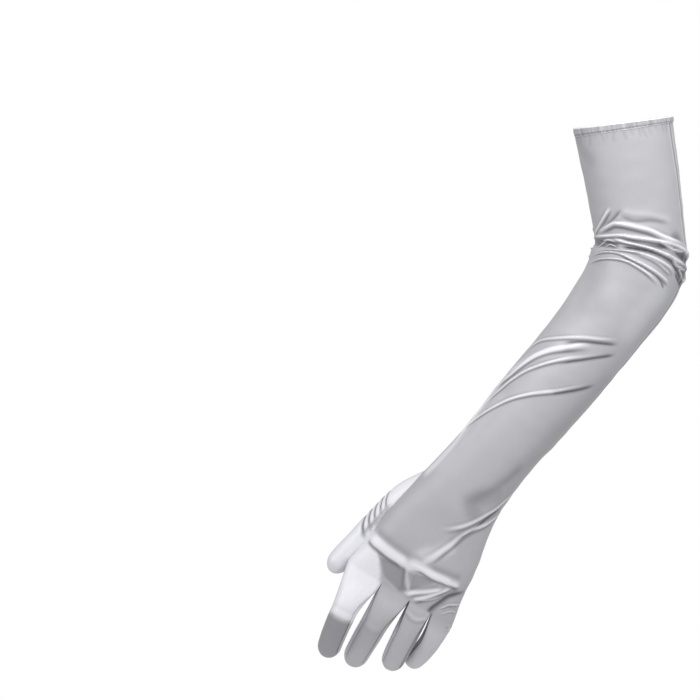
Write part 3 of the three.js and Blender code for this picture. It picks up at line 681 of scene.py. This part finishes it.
def facet_share(outline, edge, at, angle, radius):
    """How much of a facet is at each place: 1 inside its outline, with a soft edge."""
    closed = [*outline, outline[0]]
    near, away, _, _ = beside_path(closed, at, angle, radius, 2 * edge)
    share = is_inside(closed, at, angle).astype(float)
    share[near] = smoothstep(np.where(share[near] > 0, away, -away), -edge, edge)
    return share


def patch_relief(at, angle, radius):
    """Height and painted highlight and shade of the patches and facets; where some meet, the strongest
    tone counts most.
    """
    parts = [(0, shine, patch_share(rows, breadth, at, angle, radius))
             for shine, breadth, rows in LIMB_PAINTED_PATCHES]
    parts += [(rise, shine, facet_share(outline, edge, at, angle, radius))
              for rise, shine, edge, outline in LIMB_FACETS]
    height, tones, weights = np.zeros(at.shape), np.zeros(at.shape), np.full(at.shape, TINY)
    for rise, shine, share in parts:
        weight = (shine * share) ** 2
        height += rise * share
        tones += weight * shine * share
        weights += weight
    return height, tones / weights


def wave_height(at, angle):
    """Soft waves that close round the sleeve."""
    chance = np.random.default_rng(WAVE_SEED)
    height = np.zeros(at.shape)
    for _ in range(WAVE_COUNT):
        length = chance.uniform(*WAVE_LENGTHS)
        turns = chance.integers(-WAVE_TURNS, WAVE_TURNS + 1)
        phase = chance.uniform(0, math.tau)
        height += np.sin(math.tau * at / length + turns * np.radians(angle) + phase)
    return WAVE_HEIGHT * height / math.sqrt(WAVE_COUNT / 2)


limb = Axis(np.zeros(3), CROTCHES_AT, LIMB_TURNS)


def limb_size(at):
    places = [row[0] for row in LIMB_SECTIONS]
    width = read(places, [row[1][0] * row[2] for row in LIMB_SECTIONS], at)
    depth = read(places, [row[1][1] * row[3] for row in LIMB_SECTIONS], at)
    return width, depth, read(places, [row[4] for row in LIMB_SECTIONS], at)


def limb_points(at, angle):
    """Points of the sleeve and the palm with their folds, and the painted highlight and shade of each
    point.
    """
    width, depth, full = limb_size(at)
    radius = (width + depth) / 4
    points = on_section(limb, at, width, depth, full, angle)
    outward = outwards(points, limb.at(at)[0])
    lift, tone = fold_relief(LIMB_FOLDS + hem_puckers(), at, angle, radius)
    patch_lift, patch_tone = patch_relief(at, angle, radius)
    seam = side_seam(at, angle, radius)
    lift += patch_lift + wave_height(at, angle) + SEAM_DEPTH * seam
    tone = tone + patch_tone * (1 - np.abs(tone))
    # The side seam's painted shade in its groove and painted highlight beside it
    return points + outward * lift[..., None], np.clip(tone + SEAM_PAINTED_SHADING * seam, -1, 1)


def side_seam(at, angle, radius):
    """The long seam down the outer side, from the hem to the little finger: -1 in its groove."""
    seam_angle = read([0, upper(1), WRIST_AT, CROTCHES_AT], SEAM_ANGLES, at)
    away = np.radians((angle - seam_angle + 180) % 360 - 180) * radius
    groove = np.exp(-((away / SEAM_BREADTH) ** 2))
    beside = np.exp(-(((np.abs(away) / SEAM_BREADTH - SEAM_RIDGE_AWAY)) ** 2))
    return SEAM_RIDGE * beside - groove


def ring_angles(at):
    """Angles of the vertices round the limb, which gather into whole fingers towards the crotches."""
    full = LIMB_SECTIONS[-1][4]
    to_fingers = smoothstep(at, WRIST_AT, KNUCKLES_AT)
    ends = [np.zeros(at.shape)]
    for i, finger in enumerate(FINGERS):
        even = 180 * (i + 1) / len(FINGERS)
        own = math.degrees(math.acos(math.copysign(abs(finger[3]) ** (full / 2), finger[3])))
        ends.append(even + (own - even) * to_fingers)
    shares = np.linspace(0, 1, BACK_FACETS, endpoint=False)
    front = np.concatenate([ends[i][:, None] + (ends[i + 1] - ends[i])[:, None] * shares
                            for i in range(len(FINGERS))], axis=1)
    back = 360 - front[:, :0:-1]
    return np.concatenate([front, ends[-1][:, None], back], axis=1)


def limb_stations():
    stations = [HEM_HEIGHT + 0.0002]
    for to, apart in LIMB_RINGS:
        count = max(1, round((to - stations[-1]) / apart))
        stations.extend(np.linspace(stations[-1], to, count + 1)[1:])
    return np.array(stations)


class Skin:
    """The outer faces of a piece of cloth, each one marked with the piece that it is cut for."""

    def __init__(self):
        self.points = np.zeros((0, 3))
        # the painted shading of each vertex: a painted highlight above 0, painted shade below
        self.tones = np.zeros(0)
        self.faces = []
        self.names = []
        self.places = []

    def add(self, points, tones=0.0):
        start = len(self.points)
        points = np.asarray(points, float)
        self.points = np.vstack([self.points, points.reshape(-1, 3)])
        self.tones = np.concatenate([self.tones, np.broadcast_to(tones, points.shape[:-1]).ravel()])
        return np.arange(start, len(self.points)).reshape(points.shape[:-1])

    def tube(self, rings, across, along, name_at):
        """Faces between rings of vertices; across and along give each corner its place on the cloth."""
        count = rings.shape[1]
        for i in range(len(rings) - 1):
            for k in range(count):
                n = (k + 1) % count
                self.faces.append((rings[i, k], rings[i, n], rings[i + 1, n], rings[i + 1, k]))
                self.names.append(name_at(i, k))
                corners = ((i, k), (i, k + 1), (i + 1, k + 1), (i + 1, k))
                self.places.append([(across[b], along[a]) for a, b in corners])

    def cap(self, ring, tip, across, along, name):
        for k in range(len(ring)):
            self.faces.append((ring[k], ring[(k + 1) % len(ring)], tip))
            self.names.append(name)
            self.places.append([(across[k], along), (across[k + 1], along), (across[k], along)])

    def find_normals(self):
        corners = np.array([(*face[:3], face[-1]) for face in self.faces])
        a, b, c, d = (self.points[corners[:, k]] for k in range(4))
        directions_of_faces = np.cross(c - a, d - b)
        flat = np.linalg.norm(directions_of_faces, axis=1) < TINY
        directions_of_faces[flat] = np.cross(b - a, c - a)[flat]
        self.normals = np.zeros_like(self.points)
        for k in range(4):
            np.add.at(self.normals, corners[:, k], directions_of_faces)
        self.normals /= np.linalg.norm(self.normals, axis=1, keepdims=True) + TINY

    def turn_normals(self, indexes, direction):
        self.normals[indexes] += direction
        self.normals[indexes] /= np.linalg.norm(self.normals[indexes], axis=1, keepdims=True)


def taper_size(taper, width, length, at):
    """Sizes along a finger: its taper, then a round tip."""
    tip_from = length - width * TIP_SHARE
    size = width * read([row[0] for row in taper], [row[1] for row in taper], at / length)
    into_tip = np.clip((at - tip_from) / (length - tip_from), 0, 1)
    return size * np.sqrt(1 - into_tip**2)


def finger_relief(folds, tones, length, at, angle, radius):
    """Height and painted shading of a finger's folds, with the painted highlights and shade that its back
    has along its length.
    """
    folds = [(*fold[:4], [(share * length, turn) for share, turn in fold[4]]) for fold in folds]
    lift, tone = fold_relief(folds, at, angle, radius)
    back = smoothstep(np.sin(np.radians(angle)), -0.2, 0.4)
    own = np.interp(at / length, [row[0] for row in tones], [row[1] for row in tones])
    return lift, np.clip(tone + back * own * (1 - np.abs(tone)), -1, 1)


def finger_stations(width, length, rings):
    tip_from = length - width * TIP_SHARE
    body = np.linspace(0, tip_from, rings)
    tip = tip_from + (length - tip_from) * np.sin(np.pi / 2 * np.arange(1, TIP_RINGS) / TIP_RINGS)
    return np.concatenate([body, tip])


def finger_axis(lean, curl, length, root):
    return Axis(root, length, [(share * length, *turn) for share, *turn in zip(FINGER_JOINTS, lean, curl)])


def fourchette_name(index):
    return f"fourchette_{FINGERS[index + 1][0]}_{FINGERS[index][0]}"


def finger_root(index, last_ring, crotches):
    """The vertices where a finger starts, with their angles round it and the pieces that start there."""
    is_outer, is_inner = index == 0, index == len(FINGERS) - 1
    start = 0 if is_outer else FOURCHETTE_ANGLE / 2
    end = 180 if is_inner else 180 - FOURCHETTE_ANGLE / 2
    count = len(last_ring)
    palm_from = count - (index + 1) * BACK_FACETS
    root = []

    def put(indexes, first, final, name):
        for i, vertex in enumerate(indexes):
            root.append((vertex, first + (final - first) * i / len(indexes), name))

    put(last_ring[index * BACK_FACETS:(index + 1) * BACK_FACETS], start, end, BODY)
    if not is_inner:
        put(crotches[index][:-1], end, 360 - end, fourchette_name(index))
    put(last_ring[palm_from:palm_from + BACK_FACETS], 360 - end, 360 - start, BODY)
    if not is_outer:
        put(crotches[index - 1][:0:-1], 360 - start, 360 + start, fourchette_name(index - 1))
    vertices, angles, names = zip(*root)
    return np.array(vertices), np.array(angles, float), names


def add_finger(skin, index, last_ring, crotches):
    name, length_share, width_share, _, lean, curl = FINGERS[index]
    length, width = FINGER_LENGTH * length_share, FINGER_WIDTH * width_share
    vertices, angles, names = finger_root(index, last_ring, crotches)
    root_points = skin.points[vertices]
    centre = root_points.mean(axis=0)
    axis = finger_axis(lean, curl, length, centre)
    stations = finger_stations(width, length, FINGER_RINGS)
    at, angle = np.meshgrid(stations[1:], angles, indexing="ij")
    size = taper_size(FINGER_TAPER, width, length, at)
    round_points = on_section(axis, at, size, size * FINGER_DEPTH_SHARE, FINGER_ROUND, angle)
    own = smoothstep(at / length, 0, FINGER_BLEND)[..., None]
    middle = axis.at(at)[0]
    points = (root_points + middle - centre) * (1 - own) + round_points * own
    lift, tone = finger_relief(FINGER_FOLDS[name], FINGER_PAINTED_SHADING[name], length, at, angle, size / 2)
    waves = FINGER_WAVES * wave_height(at, angle)
    lift = lift * smoothstep(at, 0, FOLDS_FROM) + waves * smoothstep(at, 0, WAVES_FROM)
    is_seam = np.array([names[k] != names[k - 1] for k in range(len(names))])
    seam = is_seam * smoothstep(at, 0, SEAMS_FROM) * (at <= stations[FINGER_RINGS - 1])
    # Painted shade and painted highlight on the fourchettes, from the crotch towards the tip
    root_tone, tip_tone = np.array([FOURCHETTE_PAINTED_SHADING.get(name, (0, 0)) for name in names]).T
    tone = tone + root_tone + (tip_tone - root_tone) * smoothstep(at / length, *FOURCHETTE_SHADED)
    points = points + outwards(points, middle) * (lift - SEAM_DEPTH * seam)[..., None]
    # Painted shade along the seams between the pieces of a finger
    rings = np.vstack([vertices, skin.add(points, np.clip(tone - SEAM_PAINTED_SHADING * seam, -1, 1))])
    across = np.concatenate([angles, [angles[0] + 360]]) / 360 * math.pi * width
    skin.tube(rings, across, CROTCHES_AT + stations,
              lambda i, k: names[k] if i < FINGER_RINGS - 1 else BODY)
    tip = skin.add(axis.at(np.array([length]))[0])[0]
    skin.cap(rings[-1], tip, across, CROTCHES_AT + length, BODY)


def glove_skin():
    """The glove but its thumb and hem: one skin that is cut into the body and three fourchettes."""
    skin = Skin()
    stations = limb_stations()
    angles = ring_angles(stations)
    at = np.broadcast_to(stations[:, None], angles.shape)
    rings = skin.add(*limb_points(at, angles))
    across = np.linspace(0, 1, rings.shape[1] + 1) * math.pi * (ELBOW[0] + ELBOW[1]) / 2
    skin.tube(rings, across, stations, lambda i, k: BODY)
    last_ring = rings[-1]
    along = limb.at(np.array([CROTCHES_AT]))[1][0]
    crotches = []
    for index in range(len(FINGERS) - 1):
        front = last_ring[(index + 1) * BACK_FACETS]
        back = last_ring[len(last_ring) - (index + 1) * BACK_FACETS]
        share = np.linspace(0, 1, CROTCH_FACETS + 1)[1:-1, None]
        line = skin.points[front] * (1 - share) + skin.points[back] * share
        dip = skin.add(line - along * CROTCH_DIP * np.sin(np.pi * share))
        crotches.append(np.concatenate([[front], dip, [back]]))
    for index in range(len(FINGERS)):
        add_finger(skin, index, last_ring, crotches)
    skin.find_normals()
    skin.turn_normals(np.concatenate(crotches), along)
    return skin


def open_edges(faces):
    """Edges that only one face uses, in that face's order."""
    edges = {}
    for face in faces:
        for k in range(len(face)):
            a, b = face[k], face[(k + 1) % len(face)]
            if (b, a) in edges:
                del edges[(b, a)]
            else:
                edges[(a, b)] = True
    return list(edges)


def make_piece(name, points, faces, places, slots, materials, tones=0.0):
    mesh = bpy.data.meshes.new(name)
    mesh.from_pydata([tuple(point) for point in points], [], [tuple(map(int, face)) for face in faces])
    corners = np.array([corner for face in places for corner in face], np.float32)
    mesh.uv_layers.new(name="cloth").data.foreach_set("uv", corners.ravel())
    # each vertex's painted shading: a painted highlight above 0, painted shade below
    tone = mesh.attributes.new("painted_shading", "FLOAT", "POINT")
    tone.data.foreach_set("value", np.broadcast_to(tones, len(points)).astype(np.float32))
    for material in materials:
        mesh.materials.append(material)
    mesh.polygons.foreach_set("material_index", slots)
    piece = bpy.data.objects.new(name, mesh)
    bpy.context.scene.collection.objects.link(piece)
    smooth(piece)
    return piece


def choose(pieces):
    """Selects these pieces alone, the first one active."""
    bpy.ops.object.select_all(action="DESELECT")
    for piece in pieces:
        piece.select_set(True)
    bpy.context.view_layer.objects.active = pieces[0]


def smooth(piece):
    choose([piece])
    bpy.ops.object.shade_smooth_by_angle(angle=math.radians(SMOOTH_ANGLE))
    piece.select_set(False)


def cloth_piece(name, skin, chosen, materials):
    """A closed piece of cloth: the chosen faces, the same faces turned over inside, and the edges."""
    faces = [skin.faces[i] for i in chosen]
    places = [skin.places[i] for i in chosen]
    used = np.unique(np.concatenate([np.array(face) for face in faces]))
    renumbered = {int(vertex): i for i, vertex in enumerate(used)}
    faces = [tuple(renumbered[int(vertex)] for vertex in face) for face in faces]
    count = len(used)
    outer = skin.points[used]
    inner = outer - skin.normals[used] * CLOTH
    lining = [tuple(vertex + count for vertex in face[::-1]) for face in faces]
    rims = [(b, a, a + count, b + count) for a, b in open_edges(faces)]
    all_places = places + [place[::-1] for place in places] + [[(0, 0)] * 4] * len(rims)
    slots = [0] * len(faces) + [1] * len(lining) + [0] * len(rims)
    points, tones = np.vstack([outer, inner]), np.tile(skin.tones[used], 2)
    piece = make_piece(name, points, faces + lining + rims, all_places, slots, materials, tones)
    thin_lining(piece, count)
    return piece


def thin_lining(piece, outer_count):
    """Takes most of the faces out of the lining, which shows only through the mouth."""
    lining = piece.vertex_groups.new(name="lining")
    lining.add(range(outer_count, len(piece.data.vertices)), 1.0, "REPLACE")
    bpy.context.view_layer.objects.active = piece
    thinner = piece.modifiers.new("thin_lining", "DECIMATE")
    thinner.vertex_group = "lining"
    thinner.vertex_group_factor = 10
    thinner.ratio = LINING_RATIO
    bpy.ops.object.modifier_apply(modifier="thin_lining")
    piece.vertex_groups.clear()


def finish_piece(piece, node):
    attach(piece, "root")
    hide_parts(node)


def thumb_line():
    """The line through the thumb, from its root inside the palm."""
    width, depth, _ = limb_size(np.array([THUMB_ROOT_AT]))
    centre, _, across, deep = limb.at(np.array([THUMB_ROOT_AT]))
    aside = across[0] * width[0] / 2 * THUMB_ROOT_ACROSS
    root = centre[0] + aside + deep[0] * depth[0] / 2 * THUMB_ROOT_DEEP
    return finger_axis(THUMB_LEAN, THUMB_CURL, THUMB_LENGTH, root)


def thumb_points(axis, at, angle):
    """Points of the thumb with its folds, and the painted highlight and shade of each point."""
    size = taper_size(THUMB_TAPER, THUMB_WIDTH, THUMB_LENGTH, at)
    points = on_section(axis, at, size, size * FINGER_DEPTH_SHARE, FINGER_ROUND, angle)
    lift, tone = finger_relief(THUMB_FOLDS, FINGER_PAINTED_SHADING["thumb"], THUMB_LENGTH, at, angle, size / 2)
    lift = lift + FINGER_WAVES * wave_height(at, angle)
    return points + outwards(points, axis.at(at)[0]) * lift[..., None], tone


def thumb_skin(axis, palm_skin):
    """The thumb's skin, which starts on the surface of the palm."""
    surface = BVHTree.FromPolygons([Vector(point) for point in palm_skin.points],
                                   [tuple(map(int, face)) for face in palm_skin.faces])
    angles = np.arange(THUMB_FACETS) * 360 / THUMB_FACETS
    tries = np.linspace(THUMB_LENGTH * THUMB_TRIED, 0, THUMB_TRIES)
    starts = []
    for angle in angles:
        line = thumb_points(axis, tries, np.full(tries.shape, angle))[0]
        starts.append(crossing(surface, line, tries))
    starts = np.array(starts)
    for _ in range(3):
        starts = (np.roll(starts, 1) + 2 * starts + np.roll(starts, -1)) / 4
    stations = finger_stations(THUMB_WIDTH, THUMB_LENGTH, THUMB_RINGS) / THUMB_LENGTH
    at = starts + (THUMB_LENGTH - starts) * stations[:, None]
    skin = Skin()
    rings = skin.add(*thumb_points(axis, at, np.broadcast_to(angles, at.shape)))
    around = np.linspace(0, math.pi * THUMB_WIDTH, THUMB_FACETS + 1)
    skin.tube(rings, around, stations * THUMB_LENGTH, lambda i, k: "thumb")
    tip = skin.add(axis.at(np.array([THUMB_LENGTH]))[0])[0]
    skin.cap(rings[-1], tip, around, THUMB_LENGTH, "thumb")
    skin.find_normals()
    return skin


def crossing(surface, line, tries):
    """The place where a line from the thumb's tip towards its root goes into the palm."""
    for k in range(len(line) - 1):
        step = Vector(line[k + 1] - line[k])
        hit = surface.ray_cast(Vector(line[k]), step.normalized(), step.length)
        if hit[0] is not None:
            return tries[k + 1] - THUMB_SUNK
    return 0.0


def inside_thumb(axis, points):
    """Whether points lie well inside the thumb."""
    stations = np.linspace(0, THUMB_LENGTH * 0.95, 120)
    centres = axis.at(stations)[0]
    radius = taper_size(THUMB_TAPER, THUMB_WIDTH, THUMB_LENGTH, stations) / 2 * FINGER_DEPTH_SHARE
    away = np.linalg.norm(points[:, None] - centres, axis=2)
    return (away < radius * THUMB_CORE).any(axis=1)


def rim_line(place, angles):
    """Points round the sleeve at one place, and the directions out of its cloth."""
    at = np.full(angles.shape, place)
    points = limb_points(at, angles)[0]
    return points, outwards(points, limb.at(at)[0])


def hem_piece(materials):
    """The doubled rim round the mouth, puckered a little along its stitching."""
    angles = np.arange(HEM_COLUMNS) * 360 / HEM_COLUMNS
    waves = sum(np.sin(np.radians(angles) * turns + turns) for turns in HEM_WAVES) / len(HEM_WAVES)
    rings, tones = [], []
    for place, out, tone in HEM_PROFILE:
        points, outward = rim_line(place, angles)
        to_stitches = smoothstep(place, HEM_HEIGHT * 0.3, HEM_HEIGHT * 0.8)
        depth = (HEM_STITCHED_WAVE * to_stitches + HEM_RIM_WAVE) * (out > 0)
        rings.append(points + outward * (out + depth * waves)[:, None])
        # Painted shading that follows the hem's waves
        tones.append(np.clip(tone + HEM_WAVE_PAINTED_SHADING * waves, -1, 1))
    skin = Skin()
    indexes = skin.add(np.array(rings), np.array(tones))
    indexes = np.vstack([indexes, indexes[:1]])
    around = np.linspace(0, math.pi * MOUTH[0], HEM_COLUMNS + 1)
    along = [row[0] for row in HEM_PROFILE] + [HEM_HEIGHT]
    skin.tube(indexes, around, along, lambda i, k: "hem")
    slots = [0] * len(skin.faces)
    return make_piece("hem_cloth", skin.points, skin.faces, skin.places, slots, materials, skin.tones)


def one_stitch(material):
    """One stitch along X with Z out of the cloth: a short plump thread whose ends are drawn down."""
    bpy.ops.object.select_all(action="DESELECT")
    bpy.ops.mesh.primitive_uv_sphere_add(segments=STITCH_SIDES, ring_count=STITCH_RINGS, radius=1,
                                         rotation=(0, math.radians(90), 0))
    stitch = bpy.context.object
    bpy.ops.object.transform_apply(location=True, rotation=True, scale=True)
    bpy.ops.object.mode_set(mode="EDIT")
    bpy.ops.mesh.select_all(action="SELECT")
    bpy.ops.transform.resize(value=(STITCH_LENGTH / 2, STITCH_RADIUS, STITCH_RADIUS))
    for reach, drop in STITCH_DROPS:
        bpy.ops.mesh.select_all(action="DESELECT")
        bpy.ops.object.mode_set(mode="OBJECT")
        for vertex in stitch.data.vertices:
            vertex.select = abs(vertex.co.x) > reach * STITCH_LENGTH / 2
        bpy.ops.object.mode_set(mode="EDIT")
        bpy.ops.transform.translate(value=(0, 0, -drop))
    bpy.ops.object.mode_set(mode="OBJECT")
    stitch.data.uv_layers[0].name = "cloth"
    # The stitches carry no painted shading
    stitch.data.attributes.new("painted_shading", "FLOAT", "POINT")
    stitch.data.materials.append(material)
    return stitch


def stitches_piece(material):
    """The row of stitches that holds the hem down: one thread copied round the hem's groove."""
    line, outward = rim_line(STITCHES_AT, np.linspace(0, 360, 721))
    line = line + outward * STITCH_LIFT
    run = np.concatenate([[0], np.cumsum(np.linalg.norm(np.diff(line, axis=0), axis=1))])
    count = round(run[-1] / STITCH_SPACING)
    first = one_stitch(material)
    stitches = [first]
    for _ in range(count - 1):
        stitch = first.copy()
        stitch.data = first.data.copy()
        bpy.context.scene.collection.objects.link(stitch)
        stitches.append(stitch)
    for k, stitch in enumerate(stitches):
        start, middle, end = (run[-1] * (k + share) / count for share in (0.4, 0.5, 0.6))
        start, place, end = (Vector([np.interp(here, run, column) for column in line.T])
                             for here in (start, middle, end))
        out = Vector([np.interp(middle, run, column) for column in outward.T])
        along = (end - start).normalized()
        aside = out.cross(along).normalized()
        turned = Matrix((along, aside, along.cross(aside))).transposed().to_4x4()
        stitch.matrix_world = Matrix.Translation(place) @ turned
    choose(stitches)
    bpy.ops.object.join()
    bpy.ops.object.transform_apply(location=True, rotation=True, scale=True)
    first.name = "hem_stitches"
    smooth(first)
    return first


def grain(tree, place, scale, detail):
    """Fine uneven grain, read at a place."""
    noise = tree.nodes.new("ShaderNodeTexNoise")
    noise.inputs["Scale"].default_value = scale
    noise.inputs["Detail"].default_value = detail
    tree.links.new(place, noise.inputs["Vector"])
    return noise.outputs["Fac"]


def brought_between(tree, value, low, high, start=0):
    """A value that runs from a start to 1 more, brought between two others."""
    reach = tree.nodes.new("ShaderNodeMapRange")
    reach.inputs["From Min"].default_value = start
    reach.inputs["From Max"].default_value = start + 1
    reach.inputs["To Min"].default_value = low
    reach.inputs["To Max"].default_value = high
    tree.links.new(value, reach.inputs["Value"])
    return reach.outputs["Result"]


def product(tree, first, second):
    times = tree.nodes.new("ShaderNodeMath")
    times.operation = "MULTIPLY"
    tree.links.new(first, times.inputs[0])
    tree.links.new(second, times.inputs[1])
    return times.outputs["Value"]


def along_threads(tree):
    """Places on the cloth, drawn out along its threads."""
    place = tree.nodes.new("ShaderNodeUVMap")
    place.uv_map = "cloth"
    drawn = tree.nodes.new("ShaderNodeMapping")
    drawn.inputs["Scale"].default_value = THREADS
    tree.links.new(place.outputs["UV"], drawn.inputs["Vector"])
    return drawn.outputs["Vector"]


def painted_fold_shading(tree):
    """Painted highlights on the folds' crests and painted shade in their creases, with the other painted
    shading of each vertex.
    """
    fold = tree.nodes.new("ShaderNodeAttribute")
    fold.attribute_name = "painted_shading"
    crest = brought_between(tree, fold.outputs["Fac"], 1, PAINTED_CREST_HIGHLIGHT)
    crease = brought_between(tree, fold.outputs["Fac"], PAINTED_CREASE_SHADE, 1, start=-1)
    return product(tree, crest, crease)


def satin_material(name, color, roughness, metallic):
    """Satin: a soft wide gloss, fine threads along the cloth, a slightly uneven tone, and painted
    highlights and shade on its folds.
    """
    material = bpy.data.materials.new(name)
    material.use_nodes = True
    tree = material.node_tree
    shader = tree.nodes["Principled BSDF"]
    shader.inputs["Metallic"].default_value = metallic
    shader.inputs["Sheen Weight"].default_value = SHEEN
    shader.inputs["Sheen Roughness"].default_value = SHEEN_ROUGHNESS
    threads = grain(tree, along_threads(tree), 1, THREAD_DETAIL)
    object_place = tree.nodes.new("ShaderNodeTexCoord").outputs["Object"]
    clouds = grain(tree, object_place, CLOUD_SCALE, CLOUD_DETAIL)
    thread_tone = brought_between(tree, threads, *THREAD_TONES)
    uneven = product(tree, thread_tone, brought_between(tree, clouds, *CLOUD_TONES))
    dyed = tree.nodes.new("ShaderNodeVectorMath")
    dyed.operation = "SCALE"
    dyed.inputs[0].default_value = color
    tree.links.new(product(tree, uneven, painted_fold_shading(tree)), dyed.inputs["Scale"])
    tree.links.new(dyed.outputs["Vector"], shader.inputs["Base Color"])
    gloss = brought_between(tree, threads, roughness - THREAD_GLOSS, roughness + THREAD_GLOSS)
    tree.links.new(gloss, shader.inputs["Roughness"])
    relief = tree.nodes.new("ShaderNodeBump")
    relief.inputs["Strength"].default_value = THREAD_RELIEF
    relief.inputs["Distance"].default_value = THREAD_HEIGHT
    tree.links.new(threads, relief.inputs["Height"])
    tree.links.new(relief.outputs["Normal"], shader.inputs["Normal"])
    return material


def plain_material(name, color, roughness):
    material = bpy.data.materials.new(name)
    material.use_nodes = True
    shader = material.node_tree.nodes["Principled BSDF"]
    shader.inputs["Base Color"].default_value = (*color, 1)
    shader.inputs["Roughness"].default_value = roughness
    return material


def soft_light(name, place, target, size, power):
    light = bpy.data.lights.new(name, "AREA")
    light.shape = "RECTANGLE"
    light.size, light.size_y = size
    light.energy = power
    lamp = bpy.data.objects.new(name, light)
    lamp.location = place
    lamp.rotation_euler = (Vector(target) - Vector(place)).to_track_quat("-Z", "Y").to_euler()
    bpy.context.scene.collection.objects.link(lamp)


def white_room():
    """A white room behind the glove, which gives less light than it shows."""
    world = bpy.data.worlds.new("white_room")
    world.use_nodes = True
    nodes, links = world.node_tree.nodes, world.node_tree.links
    seen = nodes.new("ShaderNodeLightPath")
    strength = nodes.new("ShaderNodeMapRange")
    strength.inputs["To Min"].default_value = ROOM_LIGHT
    strength.inputs["To Max"].default_value = 1
    links.new(seen.outputs["Is Camera Ray"], strength.inputs["Value"])
    nodes["Background"].inputs["Color"].default_value = (1, 1, 1, 1)
    links.new(strength.outputs["Result"], nodes["Background"].inputs["Strength"])
    bpy.context.scene.world = world


def make_studio():
    bpy.ops.object.select_all(action="DESELECT")
    bpy.ops.mesh.primitive_plane_add(size=FLOOR_SIZE, location=FLOOR_PLACE)
    floor = bpy.context.object
    floor.name = "floor"
    floor.data.materials.append(plain_material("floor_paint", (0.82, 0.82, 0.82), 0.9))
    white_room()
    for lamp in LAMPS:
        soft_light(*lamp)
    bpy.context.scene.view_settings.view_transform = "Standard"


def make_camera():
    camera_data = bpy.data.cameras.new("camera")
    camera_data.sensor_width = CAMERA_SENSOR
    camera_data.lens = CAMERA_LENS
    camera = bpy.data.objects.new("camera", camera_data)
    camera.location = CAMERA_PLACE
    camera.rotation_euler = (math.radians(90), 0, 0)
    bpy.context.scene.collection.objects.link(camera)
    bpy.context.scene.camera = camera


def dress_glove():
    """Makes every piece of the glove in its cloth, and puts it in its solid's place."""
    satin = satin_material("satin", (0.5, 0.5, 0.53), 0.45, 0.15)
    satin_back = satin_material("satin_back", (0.5, 0.5, 0.52), 0.7, 0.0)
    thread = satin_material("stitching_thread", (0.6, 0.6, 0.62), 0.5, 0.0)
    cloths = [satin, satin_back]
    glove = glove_skin()
    thumb_axis = thumb_line()
    thumb = thumb_skin(thumb_axis, glove)
    names = np.array(glove.names)
    middles = np.array([glove.points[list(face)].mean(axis=0) for face in glove.faces])
    hole = inside_thumb(thumb_axis, middles)
    body = cloth_piece("glove_cloth", glove, np.flatnonzero((names == BODY) & ~hole), cloths)
    finish_piece(body, BODY)
    for index in range(len(FINGERS) - 1):
        node = fourchette_name(index)
        strip = cloth_piece(node + "_cloth", glove, np.flatnonzero(names == node), cloths)
        finish_piece(strip, node)
    finish_piece(cloth_piece("thumb_cloth", thumb, range(len(thumb.faces)), cloths), "thumb")
    finish_piece(hem_piece([satin]), "cuff_hem")
    stitches = stitches_piece(thread)
    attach(stitches, "root")


dress_glove()
make_studio()
make_camera()
